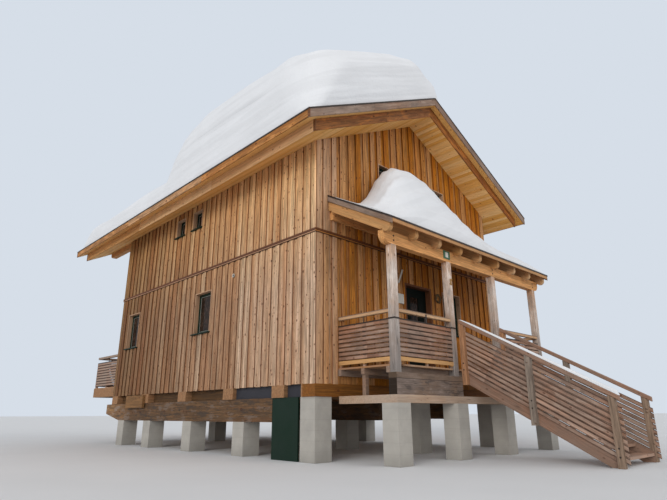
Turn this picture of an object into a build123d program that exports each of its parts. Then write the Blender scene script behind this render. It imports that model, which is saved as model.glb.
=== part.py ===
from build123d import *
import math
import os

# Timber alpine chalet with two storeys, an entrance porch, an outside stair and a rear balcony.
# X runs along the entrance gable to the right, Y runs into the house, Z is up, in millimetres.
# The origin is on the ground, at the middle of the plan, under the central pier.

# House body
house_width = 7200.0
house_length = 10180.0
cladding_bottom = 1500.0
wall_thickness = 300.0
cover_board = 25.0
floor_level = 1815.0
storey_joint = 4758.0
upper_floor_level = 4880.0
upper_floor_depth = 260.0
eaves_height = 6975.0
roof_pitch = 27.0
belt_height = 90.0
belt_depth = 45.0

# Timber base and piers
joist_width = 430.0
joist_depth = 260.0
second_joist = 1200.0
third_joist = 3150.0
sill_width = 240.0
sill_depth = 500.0
sill_inset = 30.0
sill_start = 1420.0
sill_tail = 476.0
sill_chamfer = 200.0
sill_chamfer_run = 1080.0
pier_size = 450.0
pier_span = 2400.0
panel_thickness = 40.0
panel_width = 860.0
panel_gap = 10.0

# Main roof
deck_thickness = 250.0
cover_thickness = 180.0
edge_board = 30.0
deck_side_overhang = 711.0
cover_side_overhang = 1026.0
deck_front_overhang = 747.0
cover_front_overhang = 927.0
deck_back_overhang = 2367.0
cover_back_overhang = 2547.0
board_lap = 20.0
ridge_joint = 2.0
board_joint = 1.0
timber_gap = 2.0
cut_past = 1.0
plate_width = 165.0
plate_depth = 220.0
plate_tail = 2200.0
tail_round = 150.0
purlin_width = 180.0
purlin_depth = 260.0

# Snow on the roofs: plumb depths over the roof covering
snow_inset = 60.0
snow_brow_run = 420.0
snow_mid_place = 1900.0
snow_crown_place = 700.0
snow_side_share = 0.62
snow_brow_share = 0.93
snow_right_depth = 850.0
snow_right_ramp = 550.0
snow_right_start = 80.0
# Share of the roof's length from the front, then depth at the brow, on the slope and at the ridge
snow_lines = [(0.0, 1300.0, 1280.0, 600.0), (0.022, 1620.0, 1620.0, 760.0),
              (0.092, 1950.0, 1760.0, 1000.0), (0.218, 2100.0, 1600.0, 1200.0),
              (0.351, 2180.0, 1600.0, 1250.0), (0.421, 1980.0, 1420.0, 1150.0),
              (0.443, 1680.0, 1270.0, 1100.0), (0.488, 520.0, 850.0, 900.0),
              (0.639, 720.0, 760.0, 780.0), (1.0, 850.0, 850.0, 850.0)]
porch_snow_inset = 40.0
porch_snow_setback = 75.0
porch_snow_depth = 1490.0
porch_snow_left = (0.015, 0.03)
porch_snow_right = (0.975, 0.17)
# Share of the roof's width, then share of the depth
porch_snow_bell = [(0.122, 0.17), (0.180, 0.6), (0.239, 0.87), (0.335, 1.0), (0.457, 0.91),
                   (0.556, 0.66), (0.636, 0.45), (0.728, 0.29)]
# Share of the way from the eave to the wall, then share of the depth and of the width that the bell swings
porch_snow_lines = [(0.0, 0.2, -0.0714), (0.23, 0.6, -0.0714), (0.636, 0.97, -0.0204), (1.0, 0.97, 0.0437)]

# Windows
lining_board = 25.0
lining_proud = 5.0
window_recess = 120.0
frame_section = 92.0
frame_depth = 70.0
frame_face = 46.0
sash_setback = 22.0
glass_thickness = 24.0
window_sill_thickness = 30.0
window_sill_reach = 60.0
window_sill_horn = 35.0
window_width = 860.0
window_height = 1170.0
window_sill_level = 2976.0
small_width = 540.0
small_height = 600.0
small_window_drop = 825.0
gable_window_width = 1100.0
gable_window_height = 1000.0
gable_window_sill_level = 6107.0
gable_window_spacing = 1800.0
front_window_centre = 1467.0
front_window_sill_level = 2900.0
side_window_front = 4650.0
side_window_back = 1050.0
small_window_front = 5310.0
small_window_back = 6318.0

# Entrance door
door_centre = -22.0
door_opening = 1125.0
door_head_level = 4070.0
jamb_section = 55.0
door_recess = 150.0
door_leaf_thickness = 60.0
door_gap = 6.0
threshold_rise = 20.0
knuckle_radius = 9.0
hinge_plate = 4.0
hinge_half = 50.0
hinge_reach = 38.0
hinge_inset = 260.0
hinge_clearance = 0.3
handle_height = 1050.0
handle_length = 130.0
handle_inset = 60.0
handle_reach = 56.0
lever_depth = 14.0
lever_height = 20.0
spindle_radius = 9.0
handle_plate_width = 40.0
handle_plate_depth = 8.0
handle_plate_height = 220.0
handle_plate_drop = 40.0
door_panel_margin = 120.0
door_panel_recess = 12.0
door_light_width = 330.0
door_light_height = 1300.0
door_light_sill = 650.0

# Balcony door in the back wall
balcony_door_centre = 900.0
balcony_door_width = 1000.0
balcony_door_stile = 110.0
balcony_door_kick = 160.0
back_window_centre = -1500.0

# Entrance porch
post_size = 160.0
post_arris = 10.0
first_post = 750.0
post_spacing = 1955.0
last_post = 360.0
porch_depth = 1555.0
post_foot = 1660.0
post_top = 4210.0
porch_beam_depth = 260.0
porch_beam_tail = 220.0
beam_end_round = 170.0
deck_board = 35.0
porch_joist_width = 90.0
porch_joists = 3
porch_prop = 90.0
base_beam_depth = 410.0
base_beam_width = 200.0
ground_beam_depth = 150.0
porch_pier_size = 380.0

# Porch roof
porch_pitch = 29.0
rafter_depth = 238.0
rafter_width = 100.0
rafters = 9
rafter_seat = 40.0
rafter_end_setback = 90.0
rafter_end_round = 100.0
rafter_verge_gap = 10.0
porch_board = 30.0
porch_cover = 62.0
porch_verge_lap = 42.0
porch_eave_overhang = 290.0
porch_verge_overhang = 308.0
ledger_depth = 200.0
ledger_width = 100.0
ledger_setback = 100.0

# Railings
slat_height = 78.0
slat_gap = 13.0
slat_thickness = 24.0
slat_count = 9
slat_lift = 63.0
upright_width = 60.0
upright_depth = 40.0
cap_height = 22.0
cap_width = 60.0
hand_rail_height = 1090.0
hand_rail_depth = 78.0
hand_rail_width = 90.0
hand_rail_round = 14.0
bracket_radius = 10.0
bracket_spacing = 1800.0
rail_inset = 20.0
rail_corner_gap = 4.0

# Stair
stair_left_inset = 295.0
stair_right_inset = 30.0
stair_risers = 11
stair_going = 295.0
tread_thickness = 50.0
tread_nosing = 25.0
stringer_width = 60.0
stringer_depth = 260.0
stringer_rise = 30.0
newel_size = 110.0
newels = 3
stair_rail_rise = 1100.0
stair_panel_drop = 40.0
stair_slats = 9
rail_tail = 120.0

# Rear balcony
balcony_depth = 1800.0
balcony_joists = 6
balcony_rim = 60.0

# Derived places
left = -house_width / 2
right = house_width / 2
front = -house_length / 2
back = house_length / 2
wall_face = front + cover_board
back_face = back - cover_board
slope = math.tan(math.radians(roof_pitch))
slope_cos = math.cos(math.radians(roof_pitch))
deck_rise = deck_thickness / slope_cos
cover_rise = cover_thickness / slope_cos
ridge_soffit = eaves_height + house_width / 2 * slope
small_sill_level = eaves_height - small_window_drop
rear_window = house_length - side_window_back
sill_top = cladding_bottom - joist_depth
sill_bottom = sill_top - sill_depth
porch_front = front - porch_depth
post_back = porch_front + post_size
post_centres = [left + first_post, left + first_post + post_spacing]
post_centres += [post_centres[1] + post_spacing, right - last_post]
stair_left = post_centres[1] + stair_left_inset
stair_right = post_centres[2] + stair_right_inset
porch_left = post_centres[0] - post_size / 2
porch_right = post_centres[3] + post_size / 2
beam_top = post_top + porch_beam_depth
porch_slope = math.tan(math.radians(porch_pitch))
porch_cos = math.cos(math.radians(porch_pitch))
base_beam_bottom = post_foot - base_beam_depth
ground_beam_bottom = base_beam_bottom - ground_beam_depth
deck_underside = floor_level - deck_board
porch_joist_depth = deck_underside - post_foot
riser = floor_level / stair_risers
stair_slope = riser / stair_going
stair_cos = math.cos(math.atan(stair_slope))
balcony_edge = back + balcony_depth


def block(x0, x1, y0, y1, z0, z1):
    """Upright block between two corners."""
    centre = Pos((x0 + x1) / 2, (y0 + y1) / 2, (z0 + z1) / 2)
    return centre * Box(x1 - x0, y1 - y0, z1 - z0)


def prism_along_y(points, y0, y1):
    """Outline of (x, z) points drawn out along Y."""
    face = Pos(0, y0, 0) * (Plane.XZ * Polygon(*points, align=None))
    return extrude(face, amount=y1 - y0, dir=(0, 1, 0))


def prism_along_x(points, x0, x1):
    """Outline of (y, z) points drawn out along X."""
    face = Pos(x0, 0, 0) * (Plane.YZ * Polygon(*points, align=None))
    return extrude(face, amount=x1 - x0, dir=(1, 0, 0))


def spread(first, last, count):
    """Evenly spaced places from first to last."""
    return [first + (last - first) * i / (count - 1) for i in range(count)]


def soffit(x):
    """Height of the main roof's underside over a place across the house."""
    return ridge_soffit - abs(x) * slope


def both_sides(solid):
    """A piece of the left half and its mirror image on the right."""
    return [solid, mirror(solid, about=Plane.YZ)]


def round_end(beam, axis, side, radius):
    """Rounds the lower edge of one end of a beam, as a carpenter shapes a tail."""
    end = beam.faces().sort_by(axis)[side]
    return fillet(end.edges().sort_by(Axis.Z)[0], radius)


def save(name, solids):
    """Write one named piece, made of one or more solids."""
    solids = solids if isinstance(solids, list) else [solids]
    bodies = [body for solid in solids for body in solid.solids()]
    shape = bodies[0] if len(bodies) == 1 else Compound(children=bodies)
    export_step(shape, os.path.join("parts", name + ".step"))


def on_wall(side, along, height):
    """Place of a local frame on a wall: x along it, y into the house, z up."""
    if side == "front":
        return Pos(along, front, height)
    if side == "back":
        return Pos(along, back, height) * Rot(0, 0, 180)
    if side == "left":
        return Pos(left, front + along, height) * Rot(0, 0, -90)
    return Pos(right, front + along, height) * Rot(0, 0, 90)


windows = [
    ("left", side_window_front, window_sill_level, window_width, window_height),
    ("left", rear_window, window_sill_level, window_width, window_height),
    ("right", side_window_front, window_sill_level, window_width, window_height),
    ("right", rear_window, window_sill_level, window_width, window_height),
    ("left", small_window_front, small_sill_level, small_width, small_height),
    ("left", small_window_back, small_sill_level, small_width, small_height),
    ("right", small_window_front, small_sill_level, small_width, small_height),
    ("right", small_window_back, small_sill_level, small_width, small_height),
    ("front", front_window_centre, front_window_sill_level, window_width, window_height),
    ("back", back_window_centre, window_sill_level, window_width, window_height),
]
for end in ("front", "back"):
    for shift in (-0.5, 0.5):
        windows.append((end, shift * gable_window_spacing, gable_window_sill_level,
                        gable_window_width, gable_window_height))


def window_cut(width, height):
    """Space of a window through the whole wall."""
    return block(-width / 2, width / 2, -wall_thickness, 2 * wall_thickness, 0, height)


def window_lining(width, height):
    """Boards round the reveal, at the sides and the head."""
    outer = block(-width / 2, width / 2, -lining_proud, window_recess, window_sill_thickness, height)
    inner = block(-width / 2 + lining_board, width / 2 - lining_board, -wall_thickness, wall_thickness,
                  0, height - lining_board)
    return outer - inner


def window_frame(width, height):
    """Frame with the sash set back in it and the light cut out."""
    outer = block(-width / 2, width / 2, window_recess, window_recess + frame_depth,
                  window_sill_thickness, height)
    light = block(-width / 2 + lining_board + frame_section, width / 2 - lining_board - frame_section,
                  0, wall_thickness, window_sill_thickness + frame_section,
                  height - lining_board - frame_section)
    sash_half = width / 2 - lining_board - frame_face
    rebate = block(-sash_half, sash_half, 0, window_recess + sash_setback,
                   window_sill_thickness + frame_face, height - lining_board - frame_face)
    return outer - light - rebate


def window_glass(width, height):
    """Pane that fills the light of its frame."""
    middle = window_recess + frame_depth / 2
    return block(-width / 2 + lining_board + frame_section, width / 2 - lining_board - frame_section,
                 middle - glass_thickness / 2, middle + glass_thickness / 2,
                 window_sill_thickness + frame_section, height - lining_board - frame_section)


def window_sill(width):
    """Sill board with horns outside the cladding."""
    inside = block(-width / 2, width / 2, 0, window_recess + frame_depth, 0, window_sill_thickness)
    horned = block(-width / 2 - window_sill_horn, width / 2 + window_sill_horn, -window_sill_reach, 0,
                   0, window_sill_thickness)
    return inside + horned


def with_openings(wall, side):
    """Wall with the windows of its side cut through."""
    for window_side, along, level, width, height in windows:
        if window_side == side:
            wall -= on_wall(side, along, level) * window_cut(width, height)
    return wall


def make_windows():
    """All linings, frames, panes and sills."""
    linings, frames, panes, sills = [], [], [], []
    for side, along, level, width, height in windows:
        place = on_wall(side, along, level)
        linings.append(place * window_lining(width, height))
        frames.append(place * window_frame(width, height))
        panes.append(place * window_glass(width, height))
        sills.append(place * window_sill(width))
    save("window_linings", linings)
    save("window_frames", frames)
    save("window_glass", panes + [balcony_door_pane()])
    save("window_sills", sills)


def make_base():
    """Piers, sill beams, floor joists and the green panel under the left wall."""
    sill_rows = [left + sill_inset + sill_width / 2, 0, right - sill_inset - sill_width / 2]
    pier_rows = [left + sill_inset + pier_size / 2, 0, right - sill_inset - pier_size / 2]
    last_line = back + sill_tail - sill_chamfer_run - pier_size / 2
    pier_lines = [wall_face + pier_size / 2, -pier_span, 0, pier_span, last_line]
    piers = []
    for x in pier_rows:
        for y in pier_lines:
            top = sill_bottom if y > front + sill_start else sill_top
            piers.append(block(x - pier_size / 2, x + pier_size / 2, y - pier_size / 2,
                               y + pier_size / 2, 0, top))
    middle = porch_front + base_beam_width / 2
    half = porch_pier_size / 2
    for x in post_centres:
        piers.append(block(x - half, x + half, middle - half, middle + half, 0, ground_beam_bottom))
    save("foundation_piers", piers)

    tail = back + sill_tail
    profile = [(front + sill_start, sill_top), (tail, sill_top), (tail, sill_bottom + sill_chamfer),
               (tail - sill_chamfer_run, sill_bottom), (front + sill_start, sill_bottom)]
    save("sill_beams", [prism_along_x(profile, x - sill_width / 2, x + sill_width / 2)
                        for x in sill_rows])

    starts = [0, second_joist - joist_width / 2]
    starts += spread(third_joist - joist_width / 2, house_length - joist_width, 4)
    save("floor_joists", [block(left, right, front + start, front + start + joist_width,
                                sill_top, cladding_bottom) for start in starts])

    panel_front = front + sill_start - panel_gap - panel_width
    save("cellar_panel", block(left + sill_inset, left + sill_inset + panel_thickness, panel_front,
                               panel_front + panel_width, 0, sill_top))


def make_floors():
    """Ground floor on the joists and the upper floor between the walls."""
    inner = house_width / 2 - wall_thickness
    save("ground_floor", block(-inner, inner, front + wall_thickness, back - wall_thickness,
                               cladding_bottom, floor_level))
    save("upper_floor", block(-inner, inner, front + wall_thickness, back - wall_thickness,
                              upper_floor_level - upper_floor_depth, upper_floor_level))


def side_wall_upper():
    """Left upper wall with its notch for the wall plate."""
    outer = left + cover_board
    inner = left + wall_thickness
    plate_outer = inner - plate_width
    plate_bottom = soffit(plate_outer) - plate_depth
    outline = [(outer, storey_joint), (inner, storey_joint), (inner, plate_bottom),
               (plate_outer, plate_bottom), (plate_outer, soffit(plate_outer)), (outer, soffit(outer))]
    return prism_along_y(outline, wall_face, back_face)


def gable_wall(y0, y1):
    """Upper gable wall with its pocket for the ridge purlin."""
    inner = house_width / 2 - wall_thickness
    outline = [(-inner, storey_joint), (inner, storey_joint), (inner, soffit(inner)),
               (0, ridge_soffit), (-inner, soffit(inner))]
    pocket = block(-purlin_width / 2, purlin_width / 2, y0 - cut_past, y1 + cut_past,
                   ridge_soffit - purlin_depth, ridge_soffit + purlin_depth)
    return prism_along_y(outline, y0, y1) - pocket


def make_walls():
    """Walls of both storeys, split at the storey joint and round the entrance."""
    inner = house_width / 2 - wall_thickness
    lower = block(left + cover_board, left + wall_thickness, wall_face, back_face,
                  cladding_bottom, storey_joint)
    upper = side_wall_upper()
    save("left_wall_lower", with_openings(lower, "left"))
    save("left_wall_upper", with_openings(upper, "left"))
    save("right_wall_lower", with_openings(mirror(lower, about=Plane.YZ), "right"))
    save("right_wall_upper", with_openings(mirror(upper, about=Plane.YZ), "right"))

    inside = front + wall_thickness
    door_left = door_centre - door_opening / 2
    door_right = door_centre + door_opening / 2
    save("front_wall_left", block(-inner, door_left, wall_face, inside, cladding_bottom, storey_joint))
    beside = block(door_right, inner, wall_face, inside, cladding_bottom, storey_joint)
    save("front_wall_right", with_openings(beside, "front"))
    save("front_wall_over_door", block(door_left, door_right, wall_face, inside,
                                       door_head_level, storey_joint))
    save("front_gable", with_openings(gable_wall(wall_face, inside), "front"))

    back_inside = back - wall_thickness
    back_lower = block(-inner, inner, back_inside, back_face, cladding_bottom, storey_joint)
    back_lower -= on_wall("back", balcony_door_centre, floor_level) * window_cut(
        balcony_door_width, door_head_level - floor_level)
    save("back_wall_lower", with_openings(back_lower, "back"))
    save("back_gable", with_openings(gable_wall(back_inside, back_face), "back"))


def make_belt():
    """Storey trim round the house, over the joint of the two claddings."""
    z0 = storey_joint - belt_height / 2
    z1 = storey_joint + belt_height / 2
    proud = belt_depth - cover_board
    side = block(left - proud, left + cover_board, front - proud, back + proud, z0, z1)
    end_reach = right - cover_board - board_joint
    ends = [block(-end_reach, end_reach, front - proud, wall_face, z0, z1),
            block(-end_reach, end_reach, back_face, back + proud, z0, z1)]
    save("belt_trim", both_sides(side) + ends)


def make_door_hinges(leaf_right, leaf_back, leaf_bottom, leaf_top):
    """Three butt hinges on the inner face: the leaf's halves turn on the frame's halves."""
    axis_x = leaf_right + door_gap / 2
    axis_y = leaf_back + knuckle_radius + hinge_plate / 2
    on_frame, on_leaf = [], []
    for z in spread(leaf_bottom + hinge_inset, leaf_top - hinge_inset, 3):
        low = Pos(axis_x, axis_y, z - hinge_half / 2) * Cylinder(knuckle_radius, hinge_half)
        low += block(axis_x, axis_x + hinge_reach, leaf_back, leaf_back + hinge_plate, z - hinge_half, z)
        low += block(axis_x, axis_x + knuckle_radius, leaf_back, axis_y, z - hinge_half, z)
        start = z + hinge_clearance
        high = Pos(axis_x, axis_y, start + hinge_half / 2) * Cylinder(knuckle_radius, hinge_half)
        high += block(axis_x - hinge_reach, axis_x - door_gap / 2, leaf_back, leaf_back + hinge_plate,
                      start, start + hinge_half)
        high += block(axis_x - knuckle_radius, axis_x - door_gap / 2, leaf_back, axis_y, start,
                      start + hinge_half)
        on_frame.append(low)
        on_leaf.append(high)
    save("door_hinges_frame", on_frame)
    save("door_hinges_leaf", on_leaf)


def make_door():
    """Frame, threshold, hinged leaf with its glass, and the handles."""
    door_left = door_centre - door_opening / 2
    door_right = door_centre + door_opening / 2
    y0 = front - lining_proud
    y1 = front + door_recess + door_leaf_thickness
    top = door_head_level - jamb_section
    jambs = [block(door_left, door_left + jamb_section, y0, y1, floor_level, door_head_level),
             block(door_right - jamb_section, door_right, y0, y1, floor_level, door_head_level)]
    head = block(door_left + jamb_section + board_joint, door_right - jamb_section - board_joint, y0, y1,
                 top, door_head_level)
    save("door_frame", jambs + [head])
    save("door_threshold", block(door_left, door_right, wall_face, front + wall_thickness,
                                 cladding_bottom, floor_level))

    leaf_left = door_left + jamb_section + door_gap
    leaf_right = door_right - jamb_section - door_gap
    leaf_front = front + door_recess
    leaf_back = leaf_front + door_leaf_thickness
    leaf_bottom = floor_level + threshold_rise
    leaf_top = top - door_gap
    middle = (leaf_left + leaf_right) / 2
    light = block(middle - door_light_width / 2, middle + door_light_width / 2, leaf_front - cut_past,
                  leaf_back + cut_past, leaf_bottom + door_light_sill,
                  leaf_bottom + door_light_sill + door_light_height)
    leaf = block(leaf_left, leaf_right, leaf_front, leaf_back, leaf_bottom, leaf_top) - light
    for face in (leaf_front, leaf_back):
        leaf -= block(leaf_left + door_panel_margin, leaf_right - door_panel_margin,
                      face - door_panel_recess, face + door_panel_recess,
                      leaf_bottom + door_panel_margin, leaf_bottom + door_light_sill - door_panel_margin)
    save("door_leaf", leaf)
    pane_middle = (leaf_front + leaf_back) / 2
    save("door_glass", block(middle - door_light_width / 2, middle + door_light_width / 2,
                             pane_middle - glass_thickness / 2, pane_middle + glass_thickness / 2,
                             leaf_bottom + door_light_sill,
                             leaf_bottom + door_light_sill + door_light_height))

    make_door_hinges(leaf_right, leaf_back, leaf_bottom, leaf_top)
    handle_x = leaf_left + handle_inset
    handle_z = floor_level + handle_height
    levers = []
    for face, out in ((leaf_front, -1), (leaf_back, 1)):
        plate = Pos(handle_x, face + out * handle_plate_depth / 2, handle_z - handle_plate_drop)
        plate = plate * Box(handle_plate_width, handle_plate_depth, handle_plate_height)
        spindle = Pos(handle_x, face + out * handle_reach / 2, handle_z) * Rot(90, 0, 0)
        spindle = spindle * Cylinder(spindle_radius, handle_reach)
        lever = Pos(handle_x + handle_length / 2 - spindle_radius, face + out * handle_reach, handle_z)
        lever = lever * Box(handle_length, lever_depth, lever_height)
        levers.append(plate + spindle + lever)
    save("door_handles", levers)


def balcony_door_light():
    """Width, bottom and top of the glazed part of the balcony door."""
    height = door_head_level - floor_level
    return balcony_door_width - 2 * balcony_door_stile, balcony_door_kick, height - balcony_door_stile


def balcony_door_pane():
    """Pane in the balcony door."""
    width, low, high = balcony_door_light()
    middle = window_recess + frame_depth / 2
    pane = block(-width / 2, width / 2, middle - glass_thickness / 2, middle + glass_thickness / 2,
                 low, high)
    return on_wall("back", balcony_door_centre, floor_level) * pane


def make_balcony_door():
    """Fixed glazed door from the ground floor to the rear balcony."""
    width, low, high = balcony_door_light()
    outer = block(-balcony_door_width / 2, balcony_door_width / 2, window_recess,
                  window_recess + frame_depth, 0, door_head_level - floor_level)
    light = block(-width / 2, width / 2, 0, wall_thickness, low, high)
    save("balcony_door", on_wall("back", balcony_door_centre, floor_level) * (outer - light))


def roof_layer(lift, thickness, overhang):
    """Outline of the left half of one roof layer, plumb at the eave and the ridge."""
    eave = left - overhang
    ridge = -ridge_joint / 2
    return [(eave, soffit(eave) + lift), (ridge, soffit(ridge) + lift),
            (ridge, soffit(ridge) + lift + thickness), (eave, soffit(eave) + lift + thickness)]


def make_roof():
    """Plates, purlin, the two roof layers and their edge boards."""
    inner = left + wall_thickness
    plate_outer = inner - plate_width
    plate_bottom = soffit(plate_outer) - plate_depth
    plate = [(plate_outer, plate_bottom), (inner, plate_bottom), (inner, soffit(inner)),
             (plate_outer, soffit(plate_outer))]
    half = purlin_width / 2
    ridge = [(-half, ridge_soffit - purlin_depth), (half, ridge_soffit - purlin_depth),
             (half, soffit(half)), (0, ridge_soffit), (-half, soffit(half))]
    side_plate = round_end(prism_along_y(plate, wall_face, back + plate_tail), Axis.Y, -1, tail_round)
    ridge_purlin = prism_along_y(ridge, wall_face, back + plate_tail)
    save("purlins", both_sides(side_plate) + [round_end(ridge_purlin, Axis.Y, -1, tail_round)])

    deck_y0 = front - deck_front_overhang + edge_board
    deck_y1 = back + deck_back_overhang - edge_board
    cover_y0 = front - cover_front_overhang + edge_board
    cover_y1 = back + cover_back_overhang - edge_board
    deck_side = deck_side_overhang - edge_board
    cover_side = cover_side_overhang - edge_board
    deck = prism_along_y(roof_layer(0, deck_rise, deck_side), deck_y0, deck_y1)
    cover = prism_along_y(roof_layer(deck_rise, cover_rise, cover_side), cover_y0, cover_y1)
    save("roof_deck", both_sides(deck))
    save("roof_cover", both_sides(cover))

    def eave_board(overhang, lift, thickness, y0, y1):
        outer = left - overhang
        inner_edge = outer + edge_board
        outline = [(outer, soffit(inner_edge) + lift - board_lap),
                   (inner_edge, soffit(inner_edge) + lift - board_lap),
                   (inner_edge, soffit(inner_edge) + lift + thickness),
                   (outer, soffit(outer) + lift + thickness)]
        return prism_along_y(outline, y0, y1)

    def rake_boards(overhang, lift, thickness, y_front, y_back):
        outline = roof_layer(lift - board_lap, thickness + board_lap, overhang)
        halves = both_sides(prism_along_y(outline, y_front - edge_board, y_front))
        return halves + both_sides(prism_along_y(outline, y_back, y_back + edge_board))

    def edge_boards(overhang, lift, thickness, y0, y1):
        eaves = both_sides(eave_board(overhang, lift, thickness, y0 + board_joint, y1 - board_joint))
        return eaves + rake_boards(overhang, lift, thickness, y0, y1)

    save("lower_edge_boards", edge_boards(deck_side_overhang, 0, deck_rise, deck_y0, deck_y1))
    save("upper_edge_boards", edge_boards(cover_side_overhang, deck_rise, cover_rise,
                                          cover_y0, cover_y1))


def roof_top(x):
    """Height of the main roof covering over a place across the house."""
    return soffit(x) + deck_rise + cover_rise


def snow_section(y, brow, mid, ridge, side):
    """Upright face of one half's snow at a place along the house; side is -1 on the left."""
    edge = house_width / 2 + cover_side_overhang - snow_inset
    brow_place = edge - snow_brow_run
    start = ridge_joint / 2
    points = [(edge, 0), (edge, brow * snow_side_share), ((edge + brow_place) / 2, brow * snow_brow_share),
              (brow_place, brow), (snow_mid_place, mid), (snow_crown_place, (mid + ridge) / 2),
              (start, ridge), (start, 0)]
    outline = [(side * x, roof_top(x) + depth) for x, depth in points]
    return Pos(0, y, 0) * (Plane.XZ * make_face(Polyline(*outline, close=True)))


def make_roof_snow():
    """Snow on both slopes: deep to the brow on the left front, ramped back on the right front."""
    start = front - cover_front_overhang + snow_inset
    length = back + cover_back_overhang - snow_inset - start
    left_faces, right_faces = [], []
    for share, brow, mid, ridge in snow_lines:
        y = start + share * length
        left_faces.append(snow_section(y, brow, mid, ridge, -1))
        ramp = min(1.0, (share * length + snow_right_start) / snow_right_ramp)
        depth = snow_right_depth * ramp
        right_faces.append(snow_section(y, depth, depth, ridge * ramp, 1))
    save("roof_snow", [loft(left_faces, ruled=True), loft(right_faces, ruled=True)])


def porch_soffit(y):
    """Height of the porch rafters' underside, which seats on the beam."""
    return beam_top - rafter_seat + (y - porch_front) * porch_slope


def porch_layer(lift, thickness, y0, y1):
    """Outline of one porch roof layer, plumb at both ends."""
    return [(y0, porch_soffit(y0) + lift), (y1, porch_soffit(y1) + lift),
            (y1, porch_soffit(y1) + lift + thickness), (y0, porch_soffit(y0) + lift + thickness)]


def ledger_top():
    """Height of the ledger's top, which the rafters are notched over."""
    return porch_soffit(wall_face - ledger_width) + rafter_seat


def porch_ledger():
    """Beam on the gable wall that carries the rafters' upper ends."""
    reach = porch_verge_overhang - ledger_setback
    return block(porch_left - reach, porch_right + reach, wall_face - ledger_width, wall_face,
                 ledger_top() - ledger_depth, ledger_top())


def make_porch_frame():
    """Ground beams, base beams, posts and the two beams that carry the porch roof."""
    half = post_size / 2
    front_beam = block(porch_left, porch_right, porch_front, porch_front + base_beam_width,
                       ground_beam_bottom, base_beam_bottom)
    side = block(porch_left, porch_left + post_size, porch_front + base_beam_width + timber_gap,
                 front - timber_gap, ground_beam_bottom, base_beam_bottom)
    other = Pos(porch_right - post_size - porch_left, 0, 0) * side
    save("porch_ground_beams", [front_beam, side, other])
    left_base = block(porch_left, stair_left - newel_size, porch_front,
                      porch_front + base_beam_width, base_beam_bottom, post_foot)
    right_base = block(stair_right + newel_size / 2, porch_right, porch_front,
                       porch_front + base_beam_width, base_beam_bottom, post_foot)
    save("porch_base_beams", [left_base, right_base])
    posts = []
    for x in post_centres:
        post = block(x - half, x + half, porch_front, post_back, post_foot, post_top)
        posts.append(chamfer(post.edges().filter_by(Axis.Z), post_arris))
    save("porch_posts", posts)
    beam = block(porch_left - porch_beam_tail, porch_right + porch_beam_tail, porch_front, post_back,
                 post_top, beam_top)
    beam = round_end(round_end(beam, Axis.X, 0, beam_end_round), Axis.X, -1, beam_end_round)
    save("porch_beams", [beam, porch_ledger()])


def make_porch_deck():
    """Deck joists along the wall, props under their ends, and the deck notched for the posts."""
    half = porch_joist_width / 2
    rows = spread(post_back + timber_gap + half, wall_face - half, porch_joists)
    joists = [block(porch_left, porch_right, y - half, y + half, post_foot, deck_underside) for y in rows]
    reach = (post_size - porch_prop) / 2
    for x in (porch_left + reach, porch_right - reach - porch_prop):
        for y in rows[1:-1]:
            joists.append(block(x, x + porch_prop, y - porch_prop / 2, y + porch_prop / 2,
                                base_beam_bottom, post_foot))
    save("porch_joists", joists)
    deck = block(porch_left, porch_right, porch_front, wall_face, deck_underside, floor_level)
    notch = post_size / 2 + board_joint
    for x in post_centres:
        deck -= block(x - notch, x + notch, porch_front - board_joint, post_back + board_joint,
                      post_foot, post_top)
    save("porch_deck", deck)


def make_porch_roof():
    """Rafters on the beam and ledger, boards, cover and edge boards."""
    roof_left = porch_left - porch_verge_overhang
    roof_right = porch_right + porch_verge_overhang
    eave = porch_front - porch_eave_overhang
    rafter_rise = rafter_depth / porch_cos
    board_rise = porch_board / porch_cos
    cover_rise_here = porch_cover / porch_cos
    tip = eave + rafter_end_setback
    rafter = prism_along_x(porch_layer(0, rafter_rise, tip, wall_face), 0, rafter_width)
    seat = block(-rafter_width, 2 * rafter_width, porch_front, post_back, post_top, beam_top)
    ledger_seat = block(-rafter_width, 2 * rafter_width, wall_face - ledger_width, wall_face,
                        post_top, ledger_top())
    rafter = round_end(rafter, Axis.Y, 0, rafter_end_round) - seat - ledger_seat
    first = roof_left + edge_board + rafter_verge_gap
    last = roof_right - edge_board - rafter_verge_gap - rafter_width
    save("porch_rafters", [Pos(x, 0, 0) * rafter for x in spread(first, last, rafters)])
    boards = prism_along_x(porch_layer(rafter_rise, board_rise, eave + edge_board, wall_face),
                           roof_left + edge_board, roof_right - edge_board)
    cover = prism_along_x(porch_layer(rafter_rise + board_rise, cover_rise_here, eave + edge_board,
                                      wall_face), roof_left + edge_board, roof_right - edge_board)
    save("porch_roof_boards", boards)
    save("porch_roof_cover", cover)
    verge = prism_along_x(porch_layer(rafter_rise - porch_verge_lap,
                                      board_rise + cover_rise_here + porch_verge_lap, eave, wall_face),
                          roof_left, roof_left + edge_board)
    eave_strip = block(roof_left + edge_board + board_joint, roof_right - edge_board - board_joint,
                       eave, eave + edge_board, porch_soffit(eave) + rafter_rise,
                       porch_soffit(eave) + rafter_rise + board_rise + cover_rise_here)
    save("porch_edge_boards", [verge, Pos(roof_right - edge_board - roof_left, 0, 0) * verge, eave_strip])

    make_porch_snow(rafter_rise + board_rise + cover_rise_here, eave, roof_left, roof_right)


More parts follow.
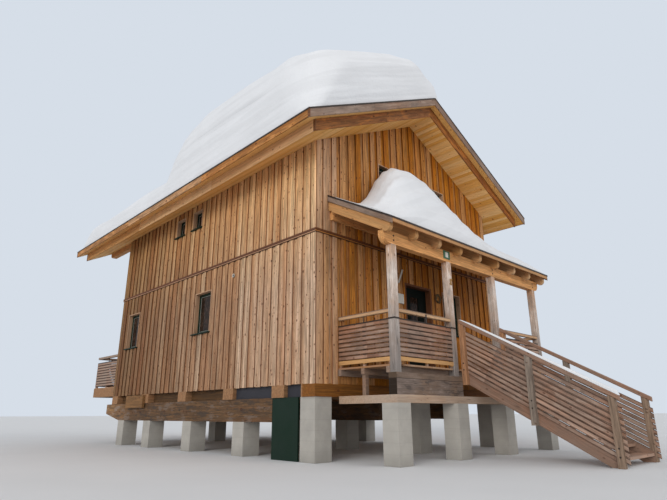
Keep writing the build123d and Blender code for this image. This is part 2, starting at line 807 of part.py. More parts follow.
def make_porch_snow(roof_rise, eave, roof_left, roof_right):
    """Bell-shaped drift on the porch roof, low at the eave and swung to the left there."""
    start = eave + porch_snow_inset
    end = front - porch_snow_setback
    span = roof_right - roof_left
    faces = []
    for along, share, swing in porch_snow_lines:
        y = start + along * (end - start)
        top = porch_soffit(y) + roof_rise
        depth = share * porch_snow_depth
        crest = [(roof_left + (place + swing) * span, top + part * depth) for place, part in porch_snow_bell]
        ends = [(roof_left + place * span, part) for place, part in (porch_snow_left, porch_snow_right)]
        outline = [(ends[0][0], top), (ends[0][0], top + ends[0][1] * depth)] + crest
        outline += [(ends[1][0], top + ends[1][1] * depth), (ends[1][0], top)]
        faces.append(Pos(0, y, 0) * (Plane.XZ * make_face(Polyline(*outline, close=True))))
    save("porch_snow", loft(faces, ruled=True))


def slat_panel(length):
    """Level slats on uprights with a cap, from x = 0, outer face at y = 0, deck at z = 0."""
    panel_top = slat_lift + slat_count * slat_height + (slat_count - 1) * slat_gap
    slats = [block(0, length, 0, slat_thickness, slat_lift + i * (slat_height + slat_gap),
                   slat_lift + i * (slat_height + slat_gap) + slat_height) for i in range(slat_count)]
    uprights = [block(x - upright_width / 2, x + upright_width / 2, slat_thickness,
                      slat_thickness + upright_depth, 0, panel_top)
                for x in (upright_width / 2, length / 2, length - upright_width / 2)]
    cap = block(0, length, 0, cap_width, panel_top, panel_top + cap_height)
    panel = cap
    for piece in uprights + slats:
        panel += piece
    return panel


def hand_rail(length):
    """Rounded rail above a slat panel, from x = 0, cap edge at y = 0."""
    rail = block(0, length, 0, hand_rail_width, hand_rail_height - hand_rail_depth, hand_rail_height)
    return fillet(rail.edges().filter_by(Axis.X), hand_rail_round)


def rail_brackets(length):
    """Round steel pins that carry a hand rail over the cap of its panel, spaced evenly."""
    cap_top = slat_lift + slat_count * slat_height + (slat_count - 1) * slat_gap + cap_height
    reach = hand_rail_height - hand_rail_depth - cap_top
    count = max(1, round(length / bracket_spacing))
    pin = Cylinder(bracket_radius, reach)
    return [Pos((i + 0.5) * length / count, cap_width / 2, cap_top + reach / 2) * pin
            for i in range(count)]


def level_rail_places():
    """Place and length of each level railing on the porch."""
    half = post_size / 2
    side_length = wall_face - post_back
    bay_left = post_centres[1] - post_centres[0] - post_size
    bay_right = post_centres[3] - post_centres[2] - post_size
    return [(Pos(porch_left + rail_inset, wall_face, floor_level) * Rot(0, 0, -90), side_length),
            (Pos(post_centres[0] + half, porch_front + rail_inset, floor_level), bay_left),
            (Pos(post_centres[2] + half, porch_front + rail_inset, floor_level), bay_right),
            (Pos(porch_right - rail_inset, post_back, floor_level) * Rot(0, 0, 90), side_length)]


def make_porch_rails():
    """Slatted panels and hand rails round the deck."""
    places = level_rail_places()
    save("porch_rails", [place * slat_panel(length) for place, length in places])
    save("porch_hand_rails", [place * hand_rail(length) for place, length in places])


def nosing(y):
    """Height of the line along the tread noses."""
    return floor_level + (y - porch_front) * stair_slope


def make_stair():
    """Two stringers with treads housed between them."""
    foot = porch_front - (stair_risers - 1) * stair_going
    drop = stringer_depth / stair_cos
    start = porch_front
    outline = [(start, nosing(start) + stringer_rise - tread_thickness),
               (start, nosing(start) + stringer_rise - drop),
               (start - (nosing(start) + stringer_rise - drop) / stair_slope, 0),
               (foot - tread_nosing, 0), (foot - tread_nosing, nosing(foot - tread_nosing) + stringer_rise),
               (start - tread_thickness / stair_slope, nosing(start) + stringer_rise - tread_thickness)]
    x0 = stair_left
    x1 = stair_right
    save("stair_stringers", [prism_along_x(outline, x0, x0 + stringer_width),
                             prism_along_x(outline, x1 - stringer_width, x1)])
    treads = []
    for step in range(1, stair_risers):
        nose = porch_front - step * stair_going
        top = floor_level - step * riser
        treads.append(block(x0 + stringer_width, x1 - stringer_width, nose - tread_nosing,
                            nose + stair_going - tread_nosing - timber_gap,
                            top - tread_thickness, top))
    save("stair_treads", treads)


def stair_panel(x, side):
    """Slats along the slope let into the inner side of newels; side is -1 for the left panel."""
    end = porch_front - (stair_risers - 1) * stair_going - rail_tail
    newel_places = spread(porch_front - newel_size / 2 - timber_gap, end + rail_tail, newels)
    inner = x if side > 0 else x - newel_size
    panel = None
    for y in newel_places:
        foot = max(0.0, nosing(y) - stringer_depth / stair_cos)
        low_side = y - newel_size / 2
        high_side = y + newel_size / 2
        head = stair_rail_rise - hand_rail_depth / stair_cos
        newel = prism_along_x([(low_side, foot), (high_side, foot), (high_side, nosing(high_side) + head),
                               (low_side, nosing(low_side) + head)], inner, inner + newel_size)
        panel = newel if panel is None else panel + newel
    slat_rise = slat_height / stair_cos
    slat_step = (slat_height + slat_gap) / stair_cos
    start = porch_front - timber_gap
    housed = x - slat_thickness if side < 0 else x
    for i in range(stair_slats):
        low = -stair_panel_drop + i * slat_step
        outline = [(start, nosing(start) + low), (end, nosing(end) + low),
                   (end, nosing(end) + low + slat_rise), (start, nosing(start) + low + slat_rise)]
        panel += prism_along_x(outline, housed, housed + slat_thickness)
    return panel


def stair_hand_rail(x, side):
    """Sloping rail over a stair panel, seated on the newels."""
    end = porch_front - (stair_risers - 1) * stair_going - rail_tail
    centre = x + side * newel_size / 2
    rise = hand_rail_depth / stair_cos
    start = porch_front - timber_gap
    outline = [(start, nosing(start) + stair_rail_rise), (end, nosing(end) + stair_rail_rise),
               (end, nosing(end) + stair_rail_rise - rise), (start, nosing(start) + stair_rail_rise - rise)]
    rail = prism_along_x(outline, centre - hand_rail_width / 2, centre + hand_rail_width / 2)
    return fillet(rail.edges().sort_by(SortBy.LENGTH)[-4:], hand_rail_round)


def make_stair_rails():
    """Railings on both sides of the stair."""
    x0 = stair_left
    x1 = stair_right
    save("stair_rails", [stair_panel(x0, -1), stair_panel(x1, 1)])
    save("stair_hand_rails", [stair_hand_rail(x0, -1), stair_hand_rail(x1, 1)])


def make_balcony():
    """Joists on the back wall, their rim and the floor."""
    joist_top = deck_underside
    places = spread(left + porch_joist_width / 2, right - porch_joist_width / 2, balcony_joists)
    joists = [block(x - porch_joist_width / 2, x + porch_joist_width / 2, back_face,
                    balcony_edge - balcony_rim - timber_gap, cladding_bottom, joist_top) for x in places]
    joists.append(block(left, right, balcony_edge - balcony_rim, balcony_edge, cladding_bottom, joist_top))
    save("balcony_joists", joists)
    save("balcony_floor", block(left, right, back_face, balcony_edge, deck_underside, floor_level))


def balcony_rail_places(corner_width):
    """Place and length of the balcony's three railings, the sides stopping short of the end one."""
    side_length = balcony_edge - back_face - rail_inset - corner_width - rail_corner_gap
    end_length = right - left - 2 * rail_inset
    return [(Pos(left + rail_inset, back_face + side_length, floor_level) * Rot(0, 0, -90), side_length),
            (Pos(right - rail_inset, back_face, floor_level) * Rot(0, 0, 90), side_length),
            (Pos(right - rail_inset, balcony_edge - rail_inset, floor_level) * Rot(0, 0, 180), end_length)]


def make_balcony_rails():
    """Slatted panels and hand rails on three sides of the balcony."""
    save("balcony_rails", [place * slat_panel(length)
                           for place, length in balcony_rail_places(cap_width)])
    save("balcony_hand_rails", [place * hand_rail(length)
                                for place, length in balcony_rail_places(hand_rail_width)])


def make_rail_brackets():
    """Pins under the level hand rails of the porch and the balcony."""
    places = level_rail_places() + balcony_rail_places(hand_rail_width)
    save("rail_brackets", [place * pin for place, length in places for pin in rail_brackets(length)])


os.makedirs("parts", exist_ok=True)
make_base()
make_floors()
make_walls()
make_belt()
make_windows()
make_door()
make_balcony_door()
make_roof()
make_roof_snow()
make_porch_frame()
make_porch_deck()
make_porch_roof()
make_porch_rails()
make_stair()
make_stair_rails()
make_balcony()
make_balcony_rails()
make_rail_brackets()
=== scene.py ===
"""Alpine chalet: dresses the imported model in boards, roof edges, snow and fittings, and lights it."""
import math
import random

import bpy
from bpy.props import FloatProperty, FloatVectorProperty, PointerProperty
from mathutils import Matrix, Vector, noise


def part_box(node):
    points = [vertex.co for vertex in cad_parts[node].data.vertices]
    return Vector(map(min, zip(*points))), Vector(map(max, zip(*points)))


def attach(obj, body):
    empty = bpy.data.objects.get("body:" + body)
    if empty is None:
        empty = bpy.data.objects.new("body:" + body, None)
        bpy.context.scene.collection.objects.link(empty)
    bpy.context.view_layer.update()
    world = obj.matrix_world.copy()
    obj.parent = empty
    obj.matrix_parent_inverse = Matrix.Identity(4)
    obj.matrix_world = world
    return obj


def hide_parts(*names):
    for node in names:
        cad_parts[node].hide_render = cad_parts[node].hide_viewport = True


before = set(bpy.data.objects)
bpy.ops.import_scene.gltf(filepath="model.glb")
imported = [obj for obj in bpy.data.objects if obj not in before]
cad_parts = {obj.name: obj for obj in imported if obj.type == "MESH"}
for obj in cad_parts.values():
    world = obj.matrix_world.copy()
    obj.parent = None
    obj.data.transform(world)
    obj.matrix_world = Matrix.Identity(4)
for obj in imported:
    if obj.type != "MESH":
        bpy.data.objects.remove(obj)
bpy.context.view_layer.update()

bl_info = {
    "name": "Alpine chalet",
    "version": (1, 0, 0),
    "blender": (4, 5, 0),
    "location": "View3D > Sidebar > Chalet",
    "description": "Boards, roof edges, snow and fittings of a timber chalet on its packed model",
    "category": "Object",
}

HOUSE = "house"


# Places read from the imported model, in metres

WALL_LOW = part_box("left_wall_lower")[0]
BELT_LOW, BELT_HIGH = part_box("belt_trim")
DECK_LOW, DECK_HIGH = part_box("roof_deck")
COVER_LOW, COVER_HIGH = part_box("roof_cover")
PORCH_DECK_LOW, PORCH_DECK_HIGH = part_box("porch_deck")
PORCH_ROOF_LOW, PORCH_ROOF_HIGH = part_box("porch_roof_cover")
BALCONY_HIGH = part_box("balcony_floor")[1]
EAVE_LOW, EAVE_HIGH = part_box("upper_edge_boards")
STEP_LOW, STEP_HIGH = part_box("lower_edge_boards")
VERGE_LOW, VERGE_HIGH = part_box("porch_edge_boards")
EDGE_BOARD = 0.03
BOARD_LAP = 0.02
COVER_BOARD = 0.025
SOFFIT_BOARD = 0.016
HALF_JOINT = 0.0015
WALL_X = -WALL_LOW.x + COVER_BOARD
WALL_Y = -WALL_LOW.y + COVER_BOARD
PITCH = math.radians(27.0)
SLOPE = math.tan(PITCH)
PORCH_PITCH = math.radians(29.0)
PORCH_SLOPE = math.tan(PORCH_PITCH)
RIDGE_TOP = COVER_HIGH.z
COVER_RISE = 0.18 / math.cos(PITCH)
DECK_RISE = 0.25 / math.cos(PITCH)
RIDGE_SOFFIT = RIDGE_TOP - COVER_RISE - DECK_RISE
TREAD_RISE, TREAD_GOING = 0.165, 0.295
STAIR_SLOPE = TREAD_RISE / TREAD_GOING
POST_PLACES = (-2.85, -0.895, 1.06, 3.24)
POST_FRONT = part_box("porch_posts")[0].y
POST_SIZE = 0.16
LEDGER_FOOT = 5.09
BOLT_HEIGHTS = (4.29, 4.39)
WALL_BOARD_PITCH = 0.275
FLOOR_BOARD = 0.14
DECK_GAP = 0.005
SLAT_PITCH = 0.091
RAIL_FOOT, STAIR_RAIL_FOOT = 1.878, 4.7928
VENT_PLACE = (-1.90, 4.33)


def roof_top(x):
    """Height of the upper roof covering over a place across the house."""
    return RIDGE_TOP - abs(x) * SLOPE


def soffit(x):
    """Height of the underside of the lower roof layer."""
    return RIDGE_SOFFIT - abs(x) * SLOPE


def porch_top(y):
    """Height of the porch covering at a place along the house."""
    return PORCH_ROOF_HIGH.z + (y - PORCH_ROOF_HIGH.y) * PORCH_SLOPE


def colour(*screen):
    """Screen colour as Blender's linear value."""
    return tuple(((c / 255.0 + 0.055) / 1.055) ** 2.4 if c > 10 else c / 3294.6 for c in screen) + (1.0,)


# Settings that a user would change

def metres(name, description, default, low=0.0):
    """Setting for a length."""
    return FloatProperty(name=name, description=description, default=default, min=low, unit="LENGTH")


def swatch(name, description, *screen):
    """Setting for a colour, whose default is given as it looks on the screen."""
    return FloatVectorProperty(name=name, description=description, subtype="COLOR", size=4,
                               default=colour(*screen), min=0.0, max=1.0)


class ChaletBoards(bpy.types.PropertyGroup):
    pitch: metres("Board pitch", "Distance from one cover board to the next", WALL_BOARD_PITCH, 0.1)
    width: metres("Cover board", "Mean width of a cover board", 0.168, 0.05)
    spread: metres("Width spread", "How much one board's width differs from the mean", 0.018)
    deck: metres("Deck board", "Width of a deck or balcony board", FLOOR_BOARD, 0.06)
    foot_drop: metres("Foot drop", "How far cover boards hang past the boards behind", 0.014)
    ease: metres("Eased edge", "Width of the broken edge of a board", 0.003)


class ChaletSnow(bpy.types.PropertyGroup):
    fullness: FloatProperty(name="Fullness", description="Depth of the snow caps against the settled depth",
                            default=1.0, min=0.2, max=1.2, subtype="FACTOR")
    unevenness: metres("Unevenness", "Height of the slow swells in the snow's surface", 0.045)
    tint: swatch("Snow colour", "Colour of settled snow", 225, 227, 231)


class ChaletColours(bpy.types.PropertyGroup):
    open_larch: swatch("Open larch", "Larch boards in the weather", 216, 175, 140)
    # Orange-brown partly as larch kept from the weather, and partly as painted shade of the porch and gable
    shaded_sheltered_larch: swatch("Sheltered larch", "Larch boards under the porch and gable", 213, 141, 60)
    beam: swatch("Beam timber", "Planed beams and posts", 218, 160, 100)
    greyed: swatch("Greyed timber", "Timber that has weathered grey", 142, 124, 112)
    # Kept light partly as painted light from the snow's bounce under the eaves
    soffit: swatch("Soffit boards", "Pale planed boards under the roof", 244, 188, 110)
    green: swatch("Window green", "Dark green paint", 17, 38, 27)


class ChaletStudio(bpy.types.PropertyGroup):
    floor: swatch("Floor colour", "Pale studio floor", 226, 227, 229)
    backdrop: swatch("Backdrop colour", "Pale backdrop", 214, 222, 232)
    sky: FloatProperty(name="Soft light", description="Strength of the light from all round",
                       default=0.62, min=0.0)
    key: FloatProperty(name="Key light", description="Strength of the large key light", default=1.5, min=0.0)
    lens: FloatProperty(name="Lens", description="Focal length in millimetres on a 36 mm frame",
                        default=27.768, min=5.0)


# Modelling helpers

def deselect():
    """Object mode with nothing selected."""
    if bpy.context.object and bpy.context.object.mode != "OBJECT":
        bpy.ops.object.mode_set(mode="OBJECT")
    bpy.ops.object.select_all(action="DESELECT")


def pick(piece):
    """Selects one object and makes it active."""
    deselect()
    piece.select_set(True)
    bpy.context.view_layer.objects.active = piece


def settle():
    """Moves place, turn and size of what is selected into its mesh."""
    bpy.ops.object.transform_apply(location=True, rotation=True, scale=True)


def edit_all(piece, operator, **options):
    """Runs one mesh operator on the whole of a piece."""
    pick(piece)
    bpy.ops.object.mode_set(mode="EDIT")
    bpy.ops.mesh.select_all(action="SELECT")
    operator(**options)
    bpy.ops.object.mode_set(mode="OBJECT")
    return piece


def select_where(piece, parts, test):
    """Selects the vertices, edges or polygons that pass a test and stays in edit mode."""
    pick(piece)
    bpy.ops.object.mode_set(mode="EDIT")
    bpy.ops.mesh.select_mode(type={"vertices": "VERT", "edges": "EDGE", "polygons": "FACE"}[parts])
    bpy.ops.mesh.select_all(action="DESELECT")
    bpy.ops.object.mode_set(mode="OBJECT")
    for part in getattr(piece.data, parts):
        part.select = test(part)
    bpy.ops.object.mode_set(mode="EDIT")


def block(name, low, high, ease=0.0, segments=1):
    """Timber between two corners, with its edges broken by a bevel."""
    deselect()
    low, high = Vector(low), Vector(high)
    bpy.ops.mesh.primitive_cube_add(size=1, location=(low + high) / 2)
    piece = bpy.context.active_object
    piece.name = piece.data.name = name
    piece.scale = high - low
    settle()
    if ease:
        edit_all(piece, bpy.ops.mesh.bevel, offset=ease, segments=segments, affect="EDGES")
    return piece


def bar(name, radius, start, end, sides=16):
    """Round bar from one point to another, with broken ends."""
    deselect()
    start, end = Vector(start), Vector(end)
    bpy.ops.mesh.primitive_cylinder_add(radius=radius, depth=(end - start).length, vertices=sides)
    piece = bpy.context.active_object
    piece.name = piece.data.name = name

    def is_level(edge):
        first, second = [piece.data.vertices[v].co.z for v in edge.vertices]
        return abs(first - second) < 1e-6

    select_where(piece, "edges", is_level)
    bpy.ops.mesh.bevel(offset=radius * 0.15, segments=1, affect="EDGES")
    bpy.ops.object.mode_set(mode="OBJECT")
    piece.rotation_mode = "QUATERNION"
    piece.rotation_quaternion = (end - start).to_track_quat("Z", "Y")
    piece.location = (start + end) / 2
    settle()
    return piece


def rimmed(piece, axis, rim, depth):
    """Sinks the middle of the face that looks down an axis, which leaves a rim."""
    select_where(piece, "polygons", lambda face: face.normal[axis] < -0.9)
    bpy.ops.mesh.inset(thickness=rim, depth=0.0)
    bpy.ops.mesh.inset(thickness=depth * 0.4, depth=-depth)
    bpy.ops.object.mode_set(mode="OBJECT")
    return piece


def tilted(piece, axis, reach, rise):
    """Lifts the far end of a strip, so that it follows a slope."""
    select_where(piece, "vertices", lambda corner: abs(corner.co[axis] - reach) < 0.012)
    bpy.ops.transform.translate(value=(0, 0, rise))
    bpy.ops.object.mode_set(mode="OBJECT")
    return piece


def copy_of(template, place, scale=(1, 1, 1), turn=(0, 0, 0), tone=None):
    """Copy with its own mesh, at a place, with its own tone for the grain."""
    copy = template.copy()
    copy.data = template.data.copy()
    bpy.context.collection.objects.link(copy)
    copy.location = Vector(place)
    copy.scale = scale
    copy.rotation_euler = turn
    return copy if tone is None else give_tone(copy, tone)


def give_tone(piece, tone):
    """Stores one value on every face, which shifts the grain and the shade of that board."""
    values = piece.data.attributes.get("tone") or piece.data.attributes.new("tone", "FLOAT", "FACE")
    for item in values.data:
        item.value = tone
    return piece


def joined(name, pieces):
    """Joins pieces into one, with its place in the mesh."""
    deselect()
    for piece in pieces:
        piece.select_set(True)
    bpy.context.view_layer.objects.active = pieces[0]
    if len(pieces) > 1:
        bpy.ops.object.join()
    settle()
    whole = bpy.context.active_object
    whole.name = whole.data.name = name
    return whole


def remove(piece):
    """Takes a template or a cutter out of the file."""
    mesh = piece.data
    bpy.data.objects.remove(piece)
    bpy.data.meshes.remove(mesh)


def cut_out(piece, cutters):
    """Cuts blocks out of a piece, one after the other."""
    for cutter in cutters:
        pick(piece)
        modifier = piece.modifiers.new("opening", "BOOLEAN")
        modifier.operation = "DIFFERENCE"
        modifier.solver = "EXACT"
        modifier.object = cutter
        bpy.ops.object.modifier_apply(modifier=modifier.name)
        remove(cutter)
    return piece


def finish_piece(piece, finish, stands_for=None):
    """Material and body of a finished piece, and the node that it stands for."""
    piece.data.materials.clear()
    piece.data.materials.append(MATERIALS[finish])
    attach(piece, HOUSE)
    if stands_for:
        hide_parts(stands_for)
    return piece


def finish_joined(name, pieces, finish, stands_for=None):
    """Joins pieces into one finished piece."""
    return finish_piece(joined(name, pieces), finish, stands_for)


# Materials

MATERIALS = {}


class Graph:
    """Nodes of one material or world, added from left to right."""

    def __init__(self, name, kind="materials"):
        self.owner = getattr(bpy.data, kind).new(name)
        self.owner.use_nodes = True
        self.tree = self.owner.node_tree
        self.tree.nodes.clear()

    def put(self, kind, settings=None, inputs=None):
        """Adds a node, with its settings and its inputs by name or number."""
        node = self.tree.nodes.new(kind)
        node.location = (200 * len(self.tree.nodes), 0)
        for key, value in (settings or {}).items():
            setattr(node, key, value)
        for key, value in (inputs or {}).items():
            if isinstance(value, bpy.types.NodeSocket):
                self.tree.links.new(value, node.inputs[key])
            else:
                node.inputs[key].default_value = value
        return node

    def math(self, operation, a, b=0.0):
        return self.put("ShaderNodeMath", {"operation": operation}, {0: a, 1: b}).outputs[0]

    def times(self, a, b):
        return self.math("MULTIPLY", a, b)

    def plus(self, a, b):
        return self.math("ADD", a, b)

    def vector(self, operation, a, b=(0.0, 0.0, 0.0)):
        return self.put("ShaderNodeVectorMath", {"operation": operation}, {0: a, 1: b}).outputs[0]

    def stretched(self, place, factors):
        return self.vector("MULTIPLY", place, factors)

    def scaled(self, a, factor):
        return self.put("ShaderNodeVectorMath", {"operation": "SCALE"}, {0: a, "Scale": factor}).outputs[0]

    def object_place(self, turn=None):
        place = self.put("ShaderNodeTexCoord").outputs["Object"]
        if turn:
            place = self.put("ShaderNodeMapping", None, {"Vector": place, "Rotation": turn}).outputs[0]
        return place

    def facing(self, axis):
        """How far the surface looks along an axis."""
        return self.split(self.put("ShaderNodeTexCoord").outputs["Normal"])[axis]

    def attribute(self, name):
        return self.put("ShaderNodeAttribute", {"attribute_name": name}).outputs["Fac"]

    def noise(self, place, scale, detail=2.0, roughness=0.5, distortion=0.0):
        return self.put("ShaderNodeTexNoise", None, {
            "Vector": place, "Scale": scale, "Detail": detail, "Roughness": roughness,
            "Distortion": distortion}).outputs[0]

    def remap(self, value, low, high, to_low=0.0, to_high=1.0, smooth=False):
        node = self.put("ShaderNodeMapRange", {"interpolation_type": "SMOOTHSTEP" if smooth else "LINEAR"}, {
            "Value": value, "From Min": low, "From Max": high, "To Min": to_low, "To Max": to_high})
        return node.outputs[0]

    def mix(self, factor, a, b, blend="MIX"):
        node = self.put("ShaderNodeMix", {"data_type": "RGBA", "blend_type": blend}, {0: factor, 6: a, 7: b})
        return node.outputs[2]

    def split(self, place):
        return self.put("ShaderNodeSeparateXYZ", None, {0: place}).outputs

    def combine(self, x, y, z=0.0):
        return self.put("ShaderNodeCombineXYZ", None, {0: x, 1: y, 2: z}).outputs[0]

    def finish(self, base, roughness, height=None, depth=0.001, strength=0.6, metallic=0.0, specular=0.5,
               ior=1.5):
        """Surface shader with its relief."""
        inputs = {"Base Color": base, "Roughness": roughness, "Metallic": metallic,
                  "Specular IOR Level": specular, "IOR": ior}
        if height is not None:
            inputs["Normal"] = self.put("ShaderNodeBump", None, {
                "Height": height, "Distance": depth, "Strength": strength}).outputs[0]
        shader = self.put("ShaderNodeBsdfPrincipled", None, inputs)
        self.put("ShaderNodeOutputMaterial", None, {"Surface": shader.outputs[0]})
        return self.owner


def darker(shade, factor):
    """A colour times a factor."""
    return tuple(c * factor for c in shade[:3]) + (1.0,)


# How a pattern is drawn out along the grain, and which axes lie across it and along it
GRAIN = {"Z": (1.0, 1.0, 0.05), "Y": (1.0, 0.05, 1.0), "X": (0.05, 1.0, 1.0), "LEVEL": (0.05, 0.05, 1.0)}
ACROSS = {key: tuple(float(c == 1) for c in grain) for key, grain in GRAIN.items()}
LENGTHWISE = {key: tuple(float(c < 1) for c in grain) for key, grain in GRAIN.items()}
AXES = {"X": 0, "Y": 1, "Z": 2}
NEWELS = ((-6.702, colour(174, 128, 94)), (-8.15, colour(140, 126, 114)), (-9.6, colour(140, 118, 100)))
NEWEL_HALF = 0.0565


def wood(name, pale, along="Z", cells=None, turn=None, deep=0.6, knots=0.85, knot_rate=5.0, knot_size=0.017,
         rings=0.4, spread=0.16, grey=None, greyness=0.0, fresh_above=None, top_grey=0.0, bands=(),
         washed=0.0, ruddy=0.4, damp=None, tints=(), blotch=0.0, cracks=0.0, slope=None, courses=None,
         fade=None, ends=0.0, uprights=(), sides=0.0):
    """Sawn or planed timber: fibres, heartwood, growth rings, knots, board tones and greying.

    cells is "board" for the tone stored on each board, or a (scale, offset) pair that parts a node into
    boards.
    """
    g = Graph(name)
    place = g.object_place(turn)
    across, length, height = g.split(place)
    raw = g.split(g.object_place())
    if slope:
        run = g.math("ABSOLUTE", across) if slope[0] == "x" else length
        height = g.plus(height, g.times(run, slope[1]))
        place = g.combine(across, length, height)
    if cells == "board":
        tone = g.attribute("tone")
    elif cells:
        box = g.vector("FLOOR", g.vector("ADD", g.stretched(place, cells[0]), cells[1]))
        tone = g.put("ShaderNodeTexWhiteNoise", {"noise_dimensions": "3D"}, {"Vector": box}).outputs[0]
    else:
        tone = 0.5
    moved = g.vector("ADD", place, g.scaled((7.31, 5.17, 9.73), g.times(tone, 4.0)))

    def drawn_out(factor=1.0):
        """Place for a pattern along the grain; a factor under 1 draws it out further."""
        return g.stretched(moved, tuple(c * factor if c < 1 else c for c in GRAIN[along]))

    def dot(axes):
        node = g.put("ShaderNodeVectorMath", {"operation": "DOT_PRODUCT"}, {0: moved, 1: axes})
        return node.outputs["Value"]

    fibre_place = drawn_out()
    fibre = g.noise(fibre_place, 170.0, 2.0, 0.6)
    streak = g.noise(fibre_place, 42.0, 4.0, 0.62)
    heart = g.noise(drawn_out(0.5), 8.0, 2.0, 0.5)
    swirl = g.noise(drawn_out(1.8), 6.0, 1.0, 0.4, 0.25)

    # Knots: one for each cell of a pattern that lies over the board, with core, rim and halo
    spot = g.combine(g.times(dot(ACROSS[along]), knot_rate),
                     g.times(dot(LENGTHWISE[along]), knot_rate * 0.62))
    knot_cells = g.put("ShaderNodeTexVoronoi", {"voronoi_dimensions": "2D"},
                       {"Vector": spot, "Scale": 1.0, "Randomness": 1.0})
    chance = g.split(knot_cells.outputs["Color"])[0]
    reach = g.times(g.plus(g.math("POWER", chance, 2.0), 0.26), knot_size * knot_rate)
    ratio = g.math("DIVIDE", knot_cells.outputs["Distance"], reach)
    knot = g.remap(ratio, 0.75, 1.2, 1.0, 0.0, smooth=True)
    core = g.remap(ratio, 0.2, 0.7, 1.0, 0.0, smooth=True)
    halo = g.remap(ratio, 0.9, 4.5, 1.0, 0.0, smooth=True)
    ring = g.math("PINGPONG", g.plus(g.times(swirl, 19.0), g.times(halo, 1.4)), 0.5)
    ring = g.math("POWER", g.times(ring, 2.0), 2.2)

    # Grown colour: streaks, figure, heartwood, rings and fibres
    figure = g.noise(drawn_out(0.7), 19.0, 2.0, 0.55)
    base = g.mix(g.remap(streak, 0.36, 0.6), darker(pale, deep), pale)
    base = g.mix(g.remap(figure, 0.42, 0.62, 0.0, 0.55, smooth=True), base, darker(pale, deep * 0.9))
    red = (pale[0] * 0.78, pale[1] * 0.6, pale[2] * 0.5, 1.0)
    base = g.mix(g.remap(heart, 0.45, 0.68, 0.0, ruddy, smooth=True), base, red)
    base = g.mix(g.times(ring, rings), base, darker(pale, deep * 0.75))
    base = g.mix(g.remap(fibre, 0.4, 0.75, 0.0, 0.25), base, darker(pale, 0.42))
    base = g.mix(g.times(halo, 0.3 * min(1.0, knots)), base, darker(red, 0.9))
    if washed:
        pale_streaks = g.remap(g.noise(fibre_place, 14.0, 3.0, 0.55), 0.5, 0.72, 0.0, washed, smooth=True)
        base = g.mix(pale_streaks, base, (pale[0] * 1.2, pale[1] * 1.27, pale[2] * 1.42, 1.0))
    swing = min(0.2, spread)
    base = g.put("ShaderNodeHueSaturation", None, {
        "Hue": g.remap(tone, 0.0, 1.0, 0.494, 0.505),
        "Saturation": g.remap(tone, 0.0, 1.0, 1.0 + swing, 1.0 - swing),
        "Value": g.remap(tone, 0.0, 1.0, 1.0 - spread, 1.0 + spread), "Color": base}).outputs[0]

    # Weather: greying, blotches, damp and cracks; and painted light and shade: sunlit boards near a corner,
    # shade at slat gaps, board sides and end faces
    if greyness:
        patches = g.noise(g.object_place(), 1.1, 3.0, 0.6)
        amount = g.remap(g.plus(patches, g.times(streak, 0.5)), 0.5, 1.0, 0.35, 1.0, smooth=True)
        amount = g.times(amount, greyness)
        if fresh_above:
            amount = g.times(amount, g.remap(height, *fresh_above, 1.0, 0.3))
        base = g.mix(amount, base, g.mix(fibre, darker(grey, 0.62), darker(grey, 1.38)))
    if blotch:
        patch = g.noise(drawn_out(6.0), 7.0, 4.0, 0.65)
        base = g.mix(g.remap(patch, 0.52, 0.66, 0.0, blotch, smooth=True), base, darker(grey or pale, 1.5))
        base = g.mix(g.remap(patch, 0.36, 0.48, blotch, 0.0, smooth=True), base, darker(grey or red, 0.42))
    # Painted sunlight: boards near a corner are mixed towards a paler, sunlit colour
    if fade:
        start, end, sunlit_colour, strength = fade
        part = g.remap(g.plus(across, g.times(tone, 0.7)), start, end, strength, 0.0)
        sunlit_board = g.mix(g.remap(streak, 0.36, 0.6), darker(sunlit_colour, 0.5), sunlit_colour)
        base = g.mix(part, base, sunlit_board)
    if courses:
        # Painted shade along the gaps between slats, at both edges of each slat
        step = g.math("FRACT", g.plus(g.times(height, courses[0]), courses[1]))
        gap_shade_and_grime = g.math("MAXIMUM", g.remap(step, 0.0, 0.2, 1.0, 0.0), g.remap(step, 0.66, 0.857, 0.0, 1.0))
        base = g.mix(gap_shade_and_grime, base, darker(pale, 0.1))
    # Painted shade: faces marked as board sides, which look into the gaps between cover boards, are darkened
    if sides:
        side = g.attribute("side")
        base = g.mix(g.times(side, sides), base, (red[0] * 0.3, red[1] * 0.24, red[2] * 0.2, 1.0))
    for middle, half, shade in uprights:
        inside = g.math("LESS_THAN", g.math("ABSOLUTE", g.math("SUBTRACT", raw[1], middle)), half)
        grain = g.noise(g.stretched(g.object_place(), (1.0, 1.0, 0.06)), 50.0, 3.0, 0.6)
        newel = g.mix(g.remap(grain, 0.35, 0.65), darker(shade, 0.55), darker(shade, 1.15))
        base = g.mix(inside, base, newel)
    if ends:
        # End faces darkened: partly darker end grain, partly painted shade
        facing = g.math("ABSOLUTE", g.facing(AXES[along]))
        base = g.mix(g.remap(facing, 0.6, 0.8, 0.0, ends), base, darker(pale, 0.06))
    if damp:
        low, high, strength = damp
        wet = g.remap(g.plus(height, g.times(streak, 0.5)), low, high, strength, 0.0)
        base = g.mix(wet, base, darker(grey or pale, 0.45))
